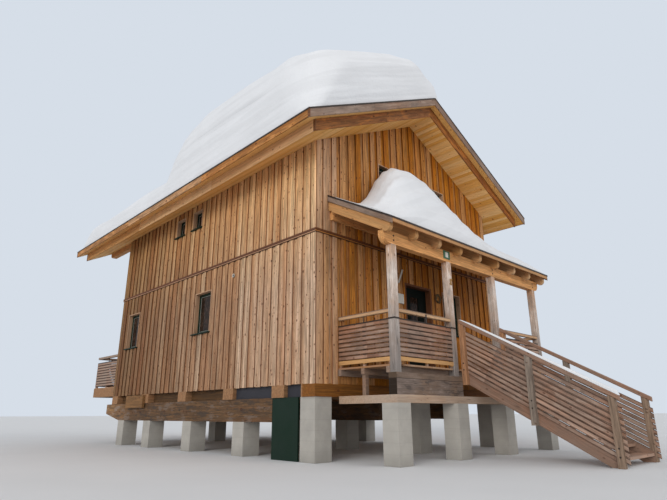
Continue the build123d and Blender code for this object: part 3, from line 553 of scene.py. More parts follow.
    # Tint ramps along an axis: some are the wood's own colour, others painted shade or painted light
    for axis, start, end, shade in tints:
        base = g.mix(g.remap(raw[axis], start, end), base, g.mix(1.0, base, shade + (1.0,), "MULTIPLY"))
    if cracks:
        check = g.noise(drawn_out(0.4), 26.0, 1.0, 0.4)
        line = g.remap(g.math("ABSOLUTE", g.math("SUBTRACT", check, 0.52)), 0.0, 0.012, cracks, 0.0)
        base = g.mix(line, base, colour(34, 24, 18))
    if top_grey:
        base = g.mix(g.remap(g.facing(2), 0.5, 0.8, 0.0, top_grey), base, darker(grey, 0.9))
    base = g.mix(g.times(knot, knots), base, g.mix(core, colour(52, 27, 13), colour(92, 52, 26)))
    for low, high, shade, strength in bands:
        inside = g.times(g.math("GREATER_THAN", height, low), g.math("LESS_THAN", height, high))
        toned = g.mix(g.remap(streak, 0.3, 0.7), darker(shade, 0.7), darker(shade, 1.1))
        base = g.mix(g.times(inside, strength), base, toned)
    bump = g.plus(g.times(streak, 0.5), g.times(fibre, 0.35))
    bump = g.math("SUBTRACT", bump, g.times(knot, 0.3))
    return g.finish(base, g.remap(streak, 0.2, 0.8, 0.66, 0.82), bump, 0.004, 0.7, specular=0.3)


def snow_material(name, tint):
    """Settled snow: soft swells, fine crystals, and a slightly cool painted shade in the hollows."""
    g = Graph(name)
    place = g.object_place()
    swell = g.noise(place, 1.1, 3.0, 0.5)
    crust = g.noise(place, 14.0, 4.0, 0.6)
    crystal = g.noise(place, 240.0, 2.0, 0.6)
    base = g.mix(g.remap(swell, 0.3, 0.7), darker(tint, 0.95), tint)
    # Painted shade: a cool blue-grey in the low parts of the crust
    base = g.mix(g.remap(crust, 0.3, 0.6, 0.1, 0.0), base, (0.66, 0.69, 0.75, 1.0))
    x, y, z = g.split(place)
    settled = g.plus(z, g.times(g.math("ABSOLUTE", x), SLOPE))
    level = g.combine(g.times(x, 0.12), g.times(y, 0.12), g.times(settled, 1.6))
    layers = g.noise(level, 3.2, 3.0, 0.55)
    upright = g.remap(g.facing(2), 0.35, 0.75, 1.0, 0.0)
    layer_line = g.remap(layers, 0.45, 0.62, 0.0, 0.3, smooth=True)
    base = g.mix(g.times(layer_line, upright), base, darker(tint, 0.8))
    height = g.plus(crust, g.times(crystal, 0.12))
    return g.finish(base, g.remap(crystal, 0.3, 0.7, 0.75, 0.95), height, 0.03, 0.35, specular=0.25)


def painted(name, shade, roughness=0.45, wear=0.25, specular=0.5):
    """Painted timber: brush marks, slight fading and scuffs."""
    g = Graph(name)
    place = g.object_place()
    brush = g.noise(g.stretched(place, (1.0, 1.0, 0.08)), 120.0, 3.0, 0.6)
    fade = g.noise(place, 2.3, 3.0, 0.6)
    base = g.mix(g.remap(fade, 0.35, 0.75, 0.0, wear), shade, darker(shade, 2.2))
    base = g.mix(g.remap(brush, 0.3, 0.7, 0.0, 0.25), base, darker(shade, 0.7))
    return g.finish(base, g.remap(fade, 0.3, 0.7, roughness - 0.08, roughness + 0.12), brush, 0.0015, 0.5,
                    specular=specular)


def metal(name, shade, roughness=0.5, metallic=1.0, gap_shade_and_grime=0.4):
    """Folded sheet or bar: mill streaks and dull spots."""
    g = Graph(name)
    place = g.object_place()
    streak = g.noise(g.stretched(place, (0.2, 0.2, 1.0)), 60.0, 3.0, 0.6)
    spots = g.noise(place, 9.0, 4.0, 0.65)
    base = g.mix(g.remap(spots, 0.45, 0.8, 0.0, gap_shade_and_grime), shade, darker(shade, 0.45))
    return g.finish(base, g.remap(streak, 0.3, 0.7, roughness - 0.1, roughness + 0.15), streak, 0.0006, 0.4,
                    metallic=metallic)


def stone(name, shade):
    """Cast concrete with pores, form marks and damp at the foot."""
    g = Graph(name)
    place = g.object_place()
    cloud = g.noise(place, 2.5, 5.0, 0.6)
    pores = g.noise(place, 90.0, 3.0, 0.6)
    height = g.split(place)[2]
    form = g.math("PINGPONG", g.times(height, 5.0), 0.5)
    base = g.mix(g.remap(cloud, 0.3, 0.7), darker(shade, 0.8), shade)
    base = g.mix(g.remap(form, 0.0, 0.03, 0.35, 0.0), base, darker(shade, 0.6))
    base = g.mix(g.remap(height, 0.0, 0.3, 0.45, 0.0), base, darker(shade, 0.5))
    relief = g.plus(g.times(pores, 0.4), g.remap(form, 0.0, 0.03, 0.0, 0.5))
    return g.finish(base, 0.88, relief, 0.004, 0.7, specular=0.3)


def window_pane(name):
    """Glass with the dim room behind it painted in as dark shade, and the faint pattern of a net curtain low
    down.
    """
    g = Graph(name)
    place = g.object_place()
    room = g.noise(place, 1.7, 2.0, 0.5)
    folds = g.noise(g.stretched(place, (1.0, 1.0, 0.35)), 26.0, 3.0, 0.6)
    base = g.mix(g.remap(room, 0.35, 0.7), (0.006, 0.004, 0.003, 1.0), (0.03, 0.02, 0.014, 1.0))
    base = g.mix(g.remap(folds, 0.5, 0.66, 0.0, 0.6), base, (0.12, 0.062, 0.045, 1.0))
    ripple = g.noise(place, 3.0, 1.0)
    return g.finish(base, 0.06, ripple, 0.002, 0.05, specular=0.15, ior=1.3)


def make_materials(context):
    """All finishes of the house, by name, into MATERIALS."""
    shades = context.scene.chalet_colours
    open_larch, shade_larch = tuple(shades.open_larch), tuple(shades.shaded_sheltered_larch)
    beam, grey, pale = tuple(shades.beam), tuple(shades.greyed), tuple(shades.soffit)
    slat = colour(190, 137, 105)
    dark_cap = (2.6835, 2.72, colour(44, 38, 35), 0.95)
    belt_middle = (BELT_LOW.z + BELT_HIGH.z) / 2
    level_courses = (1 / SLAT_PITCH, -RAIL_FOOT / SLAT_PITCH)
    stair_courses = (1 / SLAT_PITCH, -STAIR_RAIL_FOOT / SLAT_PITCH)
    level_slats = ((0.21, 0.17, 1 / SLAT_PITCH), (0.0, 0.0, level_courses[1] + 0.08))
    stair_slats = ((0.0, 0.55, 1 / SLAT_PITCH), (0.0, 0.0, stair_courses[1] + 0.08))
    strips = ((1 / WALL_BOARD_PITCH, 1 / WALL_BOARD_PITCH, 0.0), (0.5, 0.5, 0.0))
    # Painted shade and light on the left wall: darker and browner towards the back as painted shade, and
    # lighter and yellower high up, partly fresher wood under the eave and partly painted light from below
    painted_shade_and_light = ((1, -4.0, 5.0, (0.39, 0.3, 0.18)), (2, 3.6, 6.5, (1.48, 1.36, 0.97)))
    few_knots = {"knot_rate": 2.6, "knot_size": 0.026}
    many_knots = {"knot_rate": 7.0, "knot_size": 0.015}
    stair_turn = (-math.atan(STAIR_SLOPE), 0, 0)

    def add(kind, name, *looks, **more):
        MATERIALS[name] = kind(name, *looks, **more)

    # Walls
    add(wood, "open boards", open_larch, cells="board", deep=0.36, washed=0.55, tints=painted_shade_and_light,
        knot_rate=7.5, knot_size=0.016, sides=0.85)
    add(wood, "rear boards", darker(shade_larch, 0.9), cells="board", deep=0.4, washed=0.4, grey=grey,
        greyness=0.25, sides=0.85, **many_knots)
    # The front boards carry painted shade in their colour, and painted sunlight near the left corner
    add(wood, "sheltered boards", shade_larch, cells="board", deep=0.34, spread=0.14, washed=0.3,
        fade=(-2.9, -2.5, darker(open_larch, 0.92), 0.9), sides=0.85, **many_knots)
    add(wood, "open backing", open_larch, cells=strips, deep=0.4, tints=painted_shade_and_light)
    add(wood, "right boards", colour(208, 160, 116), cells="board", deep=0.42, washed=0.45, sides=0.6,
        **many_knots)
    # Right and sheltered backing boards are a little darker than their covers: painted shade in the recesses
    # between the cover boards
    add(wood, "right backing", colour(188, 142, 100), cells=strips, deep=0.45)
    add(wood, "sheltered backing", darker(shade_larch, 0.9), cells=strips, deep=0.36,
        fade=(-2.9, -2.5, darker(open_larch, 0.9), 0.9))
    # Two boards: the upper one dark, the lower one reddish; the shadow line between them and the dark line
    # along the foot are painted shade
    add(wood, "belt trim", colour(196, 148, 112), "LEVEL", rings=0.3, knots=0.3,
        tints=((1, -5.095, -5.1, (1.0, 0.72, 0.28)),),
        bands=((belt_middle, 9.0, colour(90, 48, 27), 0.9),
               (belt_middle - 0.012, belt_middle + 0.002, colour(42, 22, 11), 0.95),
               (0.0, BELT_LOW.z + 0.012, colour(60, 38, 27), 0.9)))
    add(wood, "trim upright", darker(open_larch, 0.85), knots=0.5)

    # Roof edges
    add(wood, "upper eave boards", colour(208, 148, 90), "Y", "board", deep=0.32, knot_rate=3.4,
        knot_size=0.024, blotch=0.35)
    add(wood, "upper rake boards", colour(150, 108, 78), "X", "board", deep=0.4, knots=0.5, grey=grey,
        greyness=0.9, washed=0.6, slope=("x", SLOPE), blotch=0.5)
    add(wood, "lower rake boards", colour(168, 102, 40), "X", "board", deep=0.26, knot_rate=3.4,
        knot_size=0.022, slope=("x", SLOPE), blotch=0.5)
    # Lower eave boards: kept pale partly as painted light from below, and darker towards the back as painted
    # shade
    add(wood, "lower eave boards", colour(238, 193, 143), "Y", "board", deep=0.72, knots=0.6, washed=0.4,
        ruddy=0.15, rings=0.2, tints=((1, -5.0, 4.0, (0.94, 0.86, 0.7)),))
    add(wood, "end grain", colour(138, 90, 54), "Y", deep=0.45, rings=0.9, knots=0.0)
    add(wood, "porch verge boards", colour(140, 104, 78), "Y", "board", deep=0.4, knots=0.4, grey=grey,
        greyness=0.95, washed=0.4, slope=("y", -PORCH_SLOPE), blotch=0.5)
    add(wood, "porch eave board", colour(206, 156, 106), "X", "board", deep=0.66, knots=0.6)

    # Beams, posts and floor frames
    add(wood, "beams across", darker(beam, 1.3), "X", deep=0.5, knots=0.7, **few_knots)
    add(wood, "beams along", beam, "Y", deep=0.5, knots=0.7, **few_knots)
    add(wood, "posts", darker(beam, 1.05), cells=((0.52, 0.0, 0.0), (0.0, 0.0, 0.0)), deep=0.5, knots=0.6,
        knot_rate=3.0, grey=colour(198, 187, 179), greyness=1.0, fresh_above=(3.8, 4.4),
        damp=(1.9, 3.7, 0.95), cracks=1.0, blotch=0.6, tints=((2, 3.4, 2.4, (0.8, 0.8, 0.82)),))
    add(wood, "rafters", colour(214, 166, 114), "Y", cells=((1.2, 0.0, 0.0), (0.0, 0.0, 0.0)), deep=0.66,
        knots=0.5, slope=("y", -PORCH_SLOPE))
    add(wood, "sill beams", darker(beam, 0.3), "Y", deep=0.3, knots=0.7, grey=darker(grey, 0.4), greyness=0.2,
        cracks=1.0, blotch=0.7, tints=((1, 3.6, 5.6, (2.4, 2.5, 2.5)),), **few_knots)
    # Floor joists: darker and browner on the front face under the porch deck, as painted shade
    add(wood, "floor joists", colour(178, 134, 95), "X", deep=0.5, knots=0.6, rings=0.5,
        tints=((1, -4.68, -4.72, (0.68, 0.47, 0.14)),), **few_knots)
    # Bay boards: very dark, as painted shade in the recesses between the joists
    add(wood, "bay boards", darker(beam, 0.2), "Y", deep=0.4, knots=0.5, ruddy=0.15)
    # Porch floor frame: greyed brown, made darker as painted shade under the deck
    add(wood, "porch floor frame", colour(150, 112, 84), "X", deep=0.45, knots=0.5,
        grey=colour(150, 136, 126), greyness=0.8, cracks=0.4, **few_knots)
    add(wood, "ground beams", colour(204, 168, 134), "X", deep=0.55, knots=0.6, grey=colour(176, 162, 150),
        greyness=0.7, cracks=0.5, **few_knots)
    add(painted, "bay panels", colour(52, 52, 58), 0.6, 0.3, 0.2)
    add(wood, "base beams", darker(beam, 0.4), "X", deep=0.4, knots=0.3, grey=colour(114, 100, 92),
        greyness=1.3, cracks=1.0, washed=1.0, ends=1.0, blotch=0.8,
        bands=((1.545, 1.556, colour(52, 42, 36), 0.85), (1.43, 1.437, colour(60, 51, 45), 0.75),
               (1.345, 1.35, colour(66, 57, 51), 0.6), (1.556, 1.67, colour(120, 98, 80), 0.45)),
        **few_knots)

    # Decks, railings and stair
    add(wood, "deck boards", darker(beam, 0.8), "Y", "board", deep=0.62, knots=0.6, grey=grey, greyness=0.7)
    add(wood, "balcony boards", darker(beam, 0.8), "X", "board", deep=0.62, knots=0.6, grey=grey,
        greyness=0.7)
    add(wood, "rail slats", slat, "LEVEL", level_slats, deep=0.3, knots=0.6, grey=grey, greyness=0.85,
        spread=0.38, washed=0.9, courses=level_courses, blotch=0.5,
        tints=((1, -5.7, -5.1, (1.08, 0.84, 0.68)), (2, 2.5, 2.65, (0.98, 0.86, 0.76))),
        bands=((1.86, 1.964, colour(208, 160, 104), 0.85), dark_cap))
    add(wood, "balcony slats", darker(slat, 0.9), "LEVEL", level_slats, deep=0.5, knots=0.5,
        grey=darker(grey, 1.15), greyness=1.0, spread=0.2, washed=0.6, courses=level_courses,
        bands=(dark_cap,))
    add(wood, "stair slats", slat, "Y", stair_slats, turn=stair_turn, deep=0.3, knots=0.6, grey=grey,
        greyness=0.85, spread=0.38, washed=0.9, courses=stair_courses, blotch=0.5,
        uprights=[(y, NEWEL_HALF, shade) for y, shade in NEWELS])
    add(wood, "hand rails", colour(224, 182, 138), "LEVEL", deep=0.66, knots=0.5, grey=grey, greyness=0.3,
        top_grey=0.8, bands=((2.883, 2.92, colour(112, 94, 82), 0.8),))
    add(wood, "balcony hand rails", colour(176, 150, 128), "LEVEL", deep=0.6, knots=0.5, grey=grey,
        greyness=0.8, top_grey=0.8)
    add(wood, "stair hand rails", darker(slat, 1.1), "Y", turn=stair_turn, deep=0.45, knots=0.5,
        grey=darker(grey, 0.85), greyness=0.85, cracks=0.4)
    add(wood, "stringers", darker(slat, 0.95), "Y", turn=stair_turn, deep=0.4, knots=0.5,
        grey=darker(grey, 0.7), greyness=0.8, cracks=0.5)
    add(wood, "treads", darker(slat, 1.1), "X", cells=((0.0, 1 / TREAD_GOING, 0.0), (0.0, 0.4, 0.0)),
        deep=0.65, knots=0.5, grey=grey, greyness=0.7)

    # Planed boards under the roof and indoors
    add(wood, "soffit boards", pale, "Y", "board", deep=0.8, knots=0.6, knot_rate=3.5, knot_size=0.013,
        rings=0.25, spread=0.1, ruddy=0.15)
    add(wood, "step boards", darker(pale, 0.95), "X", "board", deep=0.78, knots=0.5, rings=0.25, spread=0.06,
        ruddy=0.15)
    add(wood, "porch ceiling", darker(pale, 0.8), "X", "board", deep=0.74, knots=0.5, rings=0.3, spread=0.1)
    add(wood, "floor boards", darker(pale, 0.8), "Y", cells=((1 / FLOOR_BOARD, 0.0, 0.0), (0.0, 0.0, 0.0)),
        deep=0.7, knots=0.4)
    add(wood, "packing timber", darker(beam, 0.42), "Y", deep=0.5, knots=0.7, ruddy=0.1)

    # Paint, glass, metal, concrete, snow and small things
    add(painted, "green paint", tuple(shades.green), 0.55, 0.1, 0.2)
    add(window_pane, "window glass")
    add(metal, "steel", (0.45, 0.46, 0.47, 1.0), 0.4)
    add(metal, "dark sheet metal", colour(58, 48, 43), 0.5, 0.5)
    add(painted, "glazing beads", colour(126, 124, 118), 0.5, 0.1)
    add(stone, "concrete", colour(176, 172, 165))
    add(snow_material, "settled snow", tuple(context.scene.chalet_snow.tint))
    add(painted, "plate green", colour(40, 92, 62), 0.4, 0.1)
    # Door leaf and frame darkened as painted shade of the door's recess; the leaf is dark green paint, the
    # frame reddish-brown wood
    add(painted, "door green", colour(8, 15, 11), 0.7, 0.1, 0.12)
    add(wood, "door trim", colour(120, 74, 44), deep=0.6, knots=0.3)
    add(painted, "white paint", colour(206, 204, 196), 0.5, 0.0)
    add(wood, "straw", colour(208, 160, 96), knots=0.0, deep=0.5)
    add(painted, "dry sprigs", colour(96, 78, 52), 0.8, 0.4)


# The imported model's nodes for each finish
FINISHES = {
    "concrete": "foundation_piers",
    "sill beams": "sill_beams",
    "floor joists": "floor_joists balcony_joists",
    "green paint": "cellar_panel window_frames window_sills balcony_door",
    "floor boards": "ground_floor upper_floor",
    "open backing": "left_wall_lower left_wall_upper",
    "right backing": "right_wall_lower right_wall_upper",
    "sheltered backing": "back_wall_lower back_gable front_wall_left front_wall_right front_wall_over_door "
                         "front_gable",
    "belt trim": "belt_trim",
    "trim upright": "window_linings",
    "window glass": "window_glass door_glass",
    "door trim": "door_frame",
    "door green": "door_leaf",
    "treads": "door_threshold stair_treads",
    "steel": "door_hinges_frame door_handles door_hinges_leaf",
    "balcony boards": "balcony_floor",
    "balcony slats": "balcony_rails",
    "balcony hand rails": "balcony_hand_rails",
    "beams along": "purlins",
    "beams across": "porch_beams",
    "soffit boards": "roof_deck",
    "dark sheet metal": "roof_cover porch_roof_cover rail_brackets",
    "lower rake boards": "lower_edge_boards",
    "upper rake boards": "upper_edge_boards",
    "settled snow": "roof_snow porch_snow",
    "ground beams": "porch_ground_beams",
    "base beams": "porch_base_beams",
    "posts": "porch_posts",
    "porch floor frame": "porch_joists",
    "deck boards": "porch_deck",
    "rafters": "porch_rafters",
    "porch ceiling": "porch_roof_boards",
    "porch verge boards": "porch_edge_boards",
    "rail slats": "porch_rails",
    "hand rails": "porch_hand_rails",
    "stringers": "stair_stringers",
    "stair slats": "stair_rails",
    "stair hand rails": "stair_hand_rails",
}


class CHALET_OT_paint(bpy.types.Operator):
    """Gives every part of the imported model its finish"""
    bl_idname = "chalet.paint"
    bl_label = "Paint the frame"

    def execute(self, context):
        make_materials(context)
        finish_of = {name: finish for finish, names in FINISHES.items() for name in names.split()}
        for name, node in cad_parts.items():
            node.data.materials.clear()
            node.data.materials.append(MATERIALS[finish_of[name]])
        return {"FINISHED"}


# Cladding

# Windows on each side: middle along the wall, width, sill height and height
GABLE_WINDOWS = [(-0.9, 1.1, 6.107, 1.0), (0.9, 1.1, 6.107, 1.0)]
WINDOWS = {
    "left": [(-0.44, 0.86, 2.976, 1.17), (4.04, 0.86, 2.976, 1.17), (0.22, 0.54, 6.15, 0.6),
             (1.228, 0.54, 6.15, 0.6)],
    "front": [(1.467, 0.86, 2.9, 1.17)] + GABLE_WINDOWS,
    "back": [(-1.5, 0.86, 2.976, 1.17)] + GABLE_WINDOWS,
}
WINDOWS["right"] = WINDOWS["left"]


def wall_point(side, along, out, height):
    """Point on a wall: along it, out from the cladding's face, and up."""
    if side in ("left", "right"):
        return Vector(((WALL_X + out) * (-1 if side == "left" else 1), along, height))
    return Vector((along, (WALL_Y + out) * (-1 if side == "front" else 1), height))


def wall_block(name, side, a0, a1, out0, out1, z0, z1, ease=0.0):
    """Block on a wall between two places along it."""
    corners = list(zip(wall_point(side, a0, out0, z0), wall_point(side, a1, out1, z1)))
    return block(name, [min(pair) for pair in corners], [max(pair) for pair in corners], ease)


def clad(name, side, z0, z1, finish, seed, holes=(), ragged=False):
    """One storey of cover boards on one side, cut round windows and what is fixed to the wall."""
    sizes = bpy.context.scene.chalet_boards
    rng = random.Random(seed)
    axis = 1 if side in ("left", "right") else 0
    half = WALL_Y if axis else WALL_X - COVER_BOARD
    count = round(2 * half / sizes.pitch)
    pitch = 2 * half / count
    mean = sizes.width
    template = wall_block("board", side, -mean / 2, mean / 2, -COVER_BOARD, 0.0, z0, z1, sizes.ease)
    centre = (wall_point(side, 0, 0, z0) + wall_point(side, 0, -COVER_BOARD, z1)) / 2
    for vertex in template.data.vertices:
        vertex.co -= centre
    # Marks the side faces, which get painted shade in the gaps between boards
    flanks = template.data.attributes.new("side", "FLOAT", "FACE")
    for face, value in zip(template.data.polygons, flanks.data):
        value.value = 1.0 if abs(face.normal[axis]) > 0.5 else 0.0
    boards = []
    for number in range(count + 1):
        width = mean + rng.uniform(-1, 1) * sizes.spread
        along = -half + number * pitch + rng.uniform(-1, 1) * 0.012
        along = min(max(along, -half + width / 2), half - width / 2)
        drop = rng.uniform(0.3, 1.0) * sizes.foot_drop if ragged else 0.0
        scale = [1.0, 1.0, (z1 - z0 + drop) / (z1 - z0)]
        scale[axis] = width / mean
        place = wall_point(side, along, -COVER_BOARD / 2 + rng.uniform(0, 0.002), (z0 + z1 - drop) / 2)
        tone = 0.85 + 0.15 * rng.random() if number in (0, count) else rng.random()
        boards.append(copy_of(template, place, scale, tone=tone))
    remove(template)
    wall = joined(name, boards)
    openings = [(a - w / 2, a + w / 2, z, z + h) for a, w, z, h in WINDOWS[side] if z0 < z + h / 2 < z1]
    cut_out(wall, [wall_block("hole", side, a0, a1, -0.1, 0.1, low, high)
                   for a0, a1, low, high in openings + list(holes)])
    if side in ("front", "back") and z1 > EAVE_LOW.z:
        for sign in (-1, 1):
            edit_all(wall, bpy.ops.mesh.bisect, plane_co=(0, 0, soffit(0) - 0.003),
                     plane_no=(sign * SLOPE, 0, 1), use_fill=True, clear_outer=True)
    return finish_piece(wall, finish)


class CHALET_OT_cladding(bpy.types.Operator):
    """Upright cover boards on all four sides, one course for each storey"""
    bl_idname = "chalet.cladding"
    bl_label = "Cladding"

    def execute(self, context):
        foot, split, head = WALL_LOW.z, BELT_LOW.z, BELT_HIGH.z
        eaves = soffit(WALL_X) - 0.003
        clad("cladding_left_lower", "left", foot, split, "open boards", 11, ragged=True)
        clad("cladding_left_upper", "left", head, eaves, "open boards", 12)
        clad("cladding_right_lower", "right", foot, split, "right boards", 13, ragged=True)
        clad("cladding_right_upper", "right", head, eaves, "right boards", 14)
        door_low, door_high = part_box("door_frame")
        joists_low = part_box("porch_joists")[0]
        holes = [(door_low.x, door_high.x, foot - 0.1, door_high.z),
                 (PORCH_DECK_LOW.x - 0.01, PORCH_DECK_HIGH.x + 0.01, joists_low.z - 0.01,
                  PORCH_DECK_HIGH.z + 0.002)]
        clad("cladding_front_lower", "front", foot, split, "sheltered boards", 15, holes, ragged=True)
        holes = [(PORCH_ROOF_LOW.x - 0.04, PORCH_ROOF_HIGH.x + 0.04, LEDGER_FOOT, PORCH_ROOF_HIGH.z + 0.005)]
        clad("cladding_front_upper", "front", head, soffit(0), "sheltered boards", 16, holes)
        back_low, back_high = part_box("balcony_door")
        holes = [(back_low.x, back_high.x, foot - 0.1, back_high.z),
                 (-4, 4, foot - 0.1, BALCONY_HIGH.z + 0.002)]
        clad("cladding_back_lower", "back", foot, split, "rear boards", 17, holes)
        purlin_holes = [(-0.09, 0.09, 8.5, 9.0), (-3.45, -3.27, 6.7, 7.3), (3.27, 3.45, 6.7, 7.3)]
        clad("cladding_back_upper", "back", head, soffit(0), "rear boards", 18, purlin_holes)
        return {"FINISHED"}


# Roof

def slope_boards(name, x0, x1, y0, y1, seed, lift=0.0, width=0.1):
    """Boards along the house under a roof layer, between two places across it."""
    rng = random.Random(seed)
    cos = math.cos(PITCH)
    count = max(1, round((x1 - x0) / cos / width))
    step = (x1 - x0) / count
    half = step / cos / 2 - HALF_JOINT
    template = block("board", (-half, y0, -SOFFIT_BOARD / 2), (half, y1, SOFFIT_BOARD / 2), 0.0035)
    boards = []
    for number in range(count):
        x = x0 + (number + 0.5) * step
        sign = -1 if x < 0 else 1
        normal = Vector((-sign * math.sin(PITCH), 0, -cos))
        place = Vector((x, 0, soffit(x) + lift)) + normal * SOFFIT_BOARD / 2
        boards.append(copy_of(template, place, turn=(0, sign * PITCH, 0), tone=rng.random()))
    remove(template)
    return finish_joined(name, boards, "soffit boards")


def rake_board(name, sign, start, reach, y0, y1, below, above, tone=None):
    """Board along one slope of a gable end, with its edges above the roof's underside."""
    x0, x1 = sorted((sign * start, sign * reach))
    piece = block(name, (x0, y0, soffit(start) + below), (x1, y1, soffit(start) + above), 0.003)
    tilted(piece, 0, sign * reach, -(reach - start) * SLOPE)
    return piece if tone is None else give_tone(piece, tone)


def roof_ends(low, high, thickness=EDGE_BOARD, inset=0.0):
    """Ranges along the house of a board at the front end and one at the back end."""
    return ((low.y + inset, low.y + inset + thickness), (high.y - inset - thickness, high.y - inset))


class CHALET_OT_soffits(bpy.types.Operator):
    """Matched boards under the four roof overhangs and under the step between the two layers"""
    bl_idname = "chalet.soffits"
    bl_label = "Soffit boards"

    def execute(self, context):
        side = DECK_HIGH.x - 0.002
        front, back = DECK_LOW.y + 0.002, DECK_HIGH.y - 0.002
        fields = (("soffit_left", -side, -WALL_X, front, back), ("soffit_right", WALL_X, side, front, back),
                  ("soffit_front_left", -WALL_X, 0, front, -WALL_Y),
                  ("soffit_front_right", 0, WALL_X, front, -WALL_Y),
                  ("soffit_back_left", -WALL_X, 0, WALL_Y, back),
                  ("soffit_back_right", 0, WALL_X, WALL_Y, back))
        for seed, field in enumerate(fields, 21):
            slope_boards(*field, seed)
        inner, outer = STEP_HIGH.x + 0.001, COVER_HIGH.x - 0.001
        front, back = COVER_LOW.y + 0.001, COVER_HIGH.y - 0.001
        slope_boards("step_boards_left", -outer, -inner, front, back, 27, DECK_RISE, 0.16)
        slope_boards("step_boards_right", inner, outer, front, back, 28, DECK_RISE, 0.16)
        boards = []
        rng = random.Random(29)
        for face, away in ((STEP_LOW.y, COVER_LOW.y), (STEP_HIGH.y, COVER_HIGH.y)):
            middle = (face + away) / 2
            for y0, y1 in (sorted((face, middle)), sorted((middle, away))):
                for sign in (-1, 1):
                    boards.append(rake_board("step", sign, 0.0, inner, y0 + 0.001, y1 - 0.001,
                                             DECK_RISE - SOFFIT_BOARD, DECK_RISE, rng.random()))
        finish_joined("step_boards_ends", boards, "step boards")
        return {"FINISHED"}


class CHALET_OT_eave_boards(bpy.types.Operator):
    """Boards along the edges of both roof layers, with butt joints and end grain at the corners"""
    bl_idname = "chalet.eave_boards"
    bl_label = "Roof edge boards"

    def edge(self, layer, low, high, lift, rise, seed):
        """Edge boards of one layer; gives back the blocks of end grain at its corners."""
        node = layer + "_edge_boards"
        rng = random.Random(seed)
        bottom = soffit(high.x - EDGE_BOARD) + lift - BOARD_LAP
        top = soffit(high.x) + lift + rise
        start, end = low.y + EDGE_BOARD + 0.001, high.y - EDGE_BOARD - 0.001
        inner = [start + (end - start) * (part + rng.uniform(-0.03, 0.03)) for part in (0.34, 0.67)]
        joints = [start] + inner + [end]
        eaves = []
        for sign in (-1, 1):
            x0, x1 = sorted((sign * high.x, sign * (high.x - EDGE_BOARD)))
            for y0, y1 in zip(joints, joints[1:]):
                board = block("eave", (x0, y0 + HALF_JOINT, bottom), (x1, y1 - HALF_JOINT, top), 0.003)
                eaves.append(give_tone(board, rng.random()))
        finish_joined(layer + "_eave_fascia", eaves, layer + " eave boards", node)
        rakes = []
        for y0, y1 in roof_ends(low, high):
            for sign in (-1, 1):
                split = high.x * rng.uniform(0.42, 0.58)
                for x0, x1 in ((0.001, split - HALF_JOINT), (split + HALF_JOINT, high.x)):
                    rakes.append(rake_board("rake", sign, x0, x1, y0, y1, lift - BOARD_LAP, lift + rise,
                                            rng.random()))
        finish_joined(layer + "_rake_fascia", rakes, layer + " rake boards", node)
        ends = []
        for sign in (-1, 1):
            x0, x1 = sorted((sign * (high.x + 0.003), sign * (high.x - EDGE_BOARD)))
            for y0, y1 in roof_ends(low, high, 0.055, -0.003):
                ends.append(block("end", (x0, y0, bottom - 0.004), (x1, y1, top - 0.008), 0.004))
        return ends

    def execute(self, context):
        ends = self.edge("lower", STEP_LOW, STEP_HIGH, 0.0, DECK_RISE - 0.002, 31)
        ends += self.edge("upper", EAVE_LOW, EAVE_HIGH, DECK_RISE, COVER_RISE, 32)
        finish_joined("fascia_end_grain", ends, "end grain")

        verges = []
        foot = porch_top(VERGE_LOW.y)
        for x0 in (VERGE_LOW.x, VERGE_HIGH.x - EDGE_BOARD):
            board = block("verge", (x0, VERGE_LOW.y, foot - 0.147),
                          (x0 + EDGE_BOARD, VERGE_HIGH.y, foot), 0.004)
            tilted(board, 1, VERGE_HIGH.y, (VERGE_HIGH.y - VERGE_LOW.y) * PORCH_SLOPE)
            verges.append(give_tone(board, 0.4 if x0 < 0 else 0.7))
        finish_joined("porch_verge_fascia", verges, "porch verge boards", "porch_edge_boards")
        board = block("porch_eave_fascia", (VERGE_LOW.x + EDGE_BOARD + 0.001, VERGE_LOW.y, foot - 0.105),
                      (VERGE_HIGH.x - EDGE_BOARD - 0.001, VERGE_LOW.y + EDGE_BOARD, foot), 0.004)
        finish_piece(give_tone(board, 0.5), "porch eave board", "porch_edge_boards")

        low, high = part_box("porch_roof_boards")
        cos = math.cos(PORCH_PITCH)
        count = round((high.y - low.y) / cos / context.scene.chalet_boards.deck)
        step = (high.y - low.y) / count
        half = step / cos / 2 - 0.001
        template = block("board", (low.x, -half, -0.014), (high.x, half, 0.014), 0.004)
        rng = random.Random(33)
        boards = []
        for number in range(count):
            run = (number + 0.5) * step
            boards.append(copy_of(template, (0, low.y + run, low.z + run * PORCH_SLOPE + 0.017),
                                  turn=(PORCH_PITCH, 0, 0), tone=rng.random()))
        remove(template)
        finish_joined("porch_ceiling", boards, "porch ceiling", "porch_roof_boards")
        return {"FINISHED"}


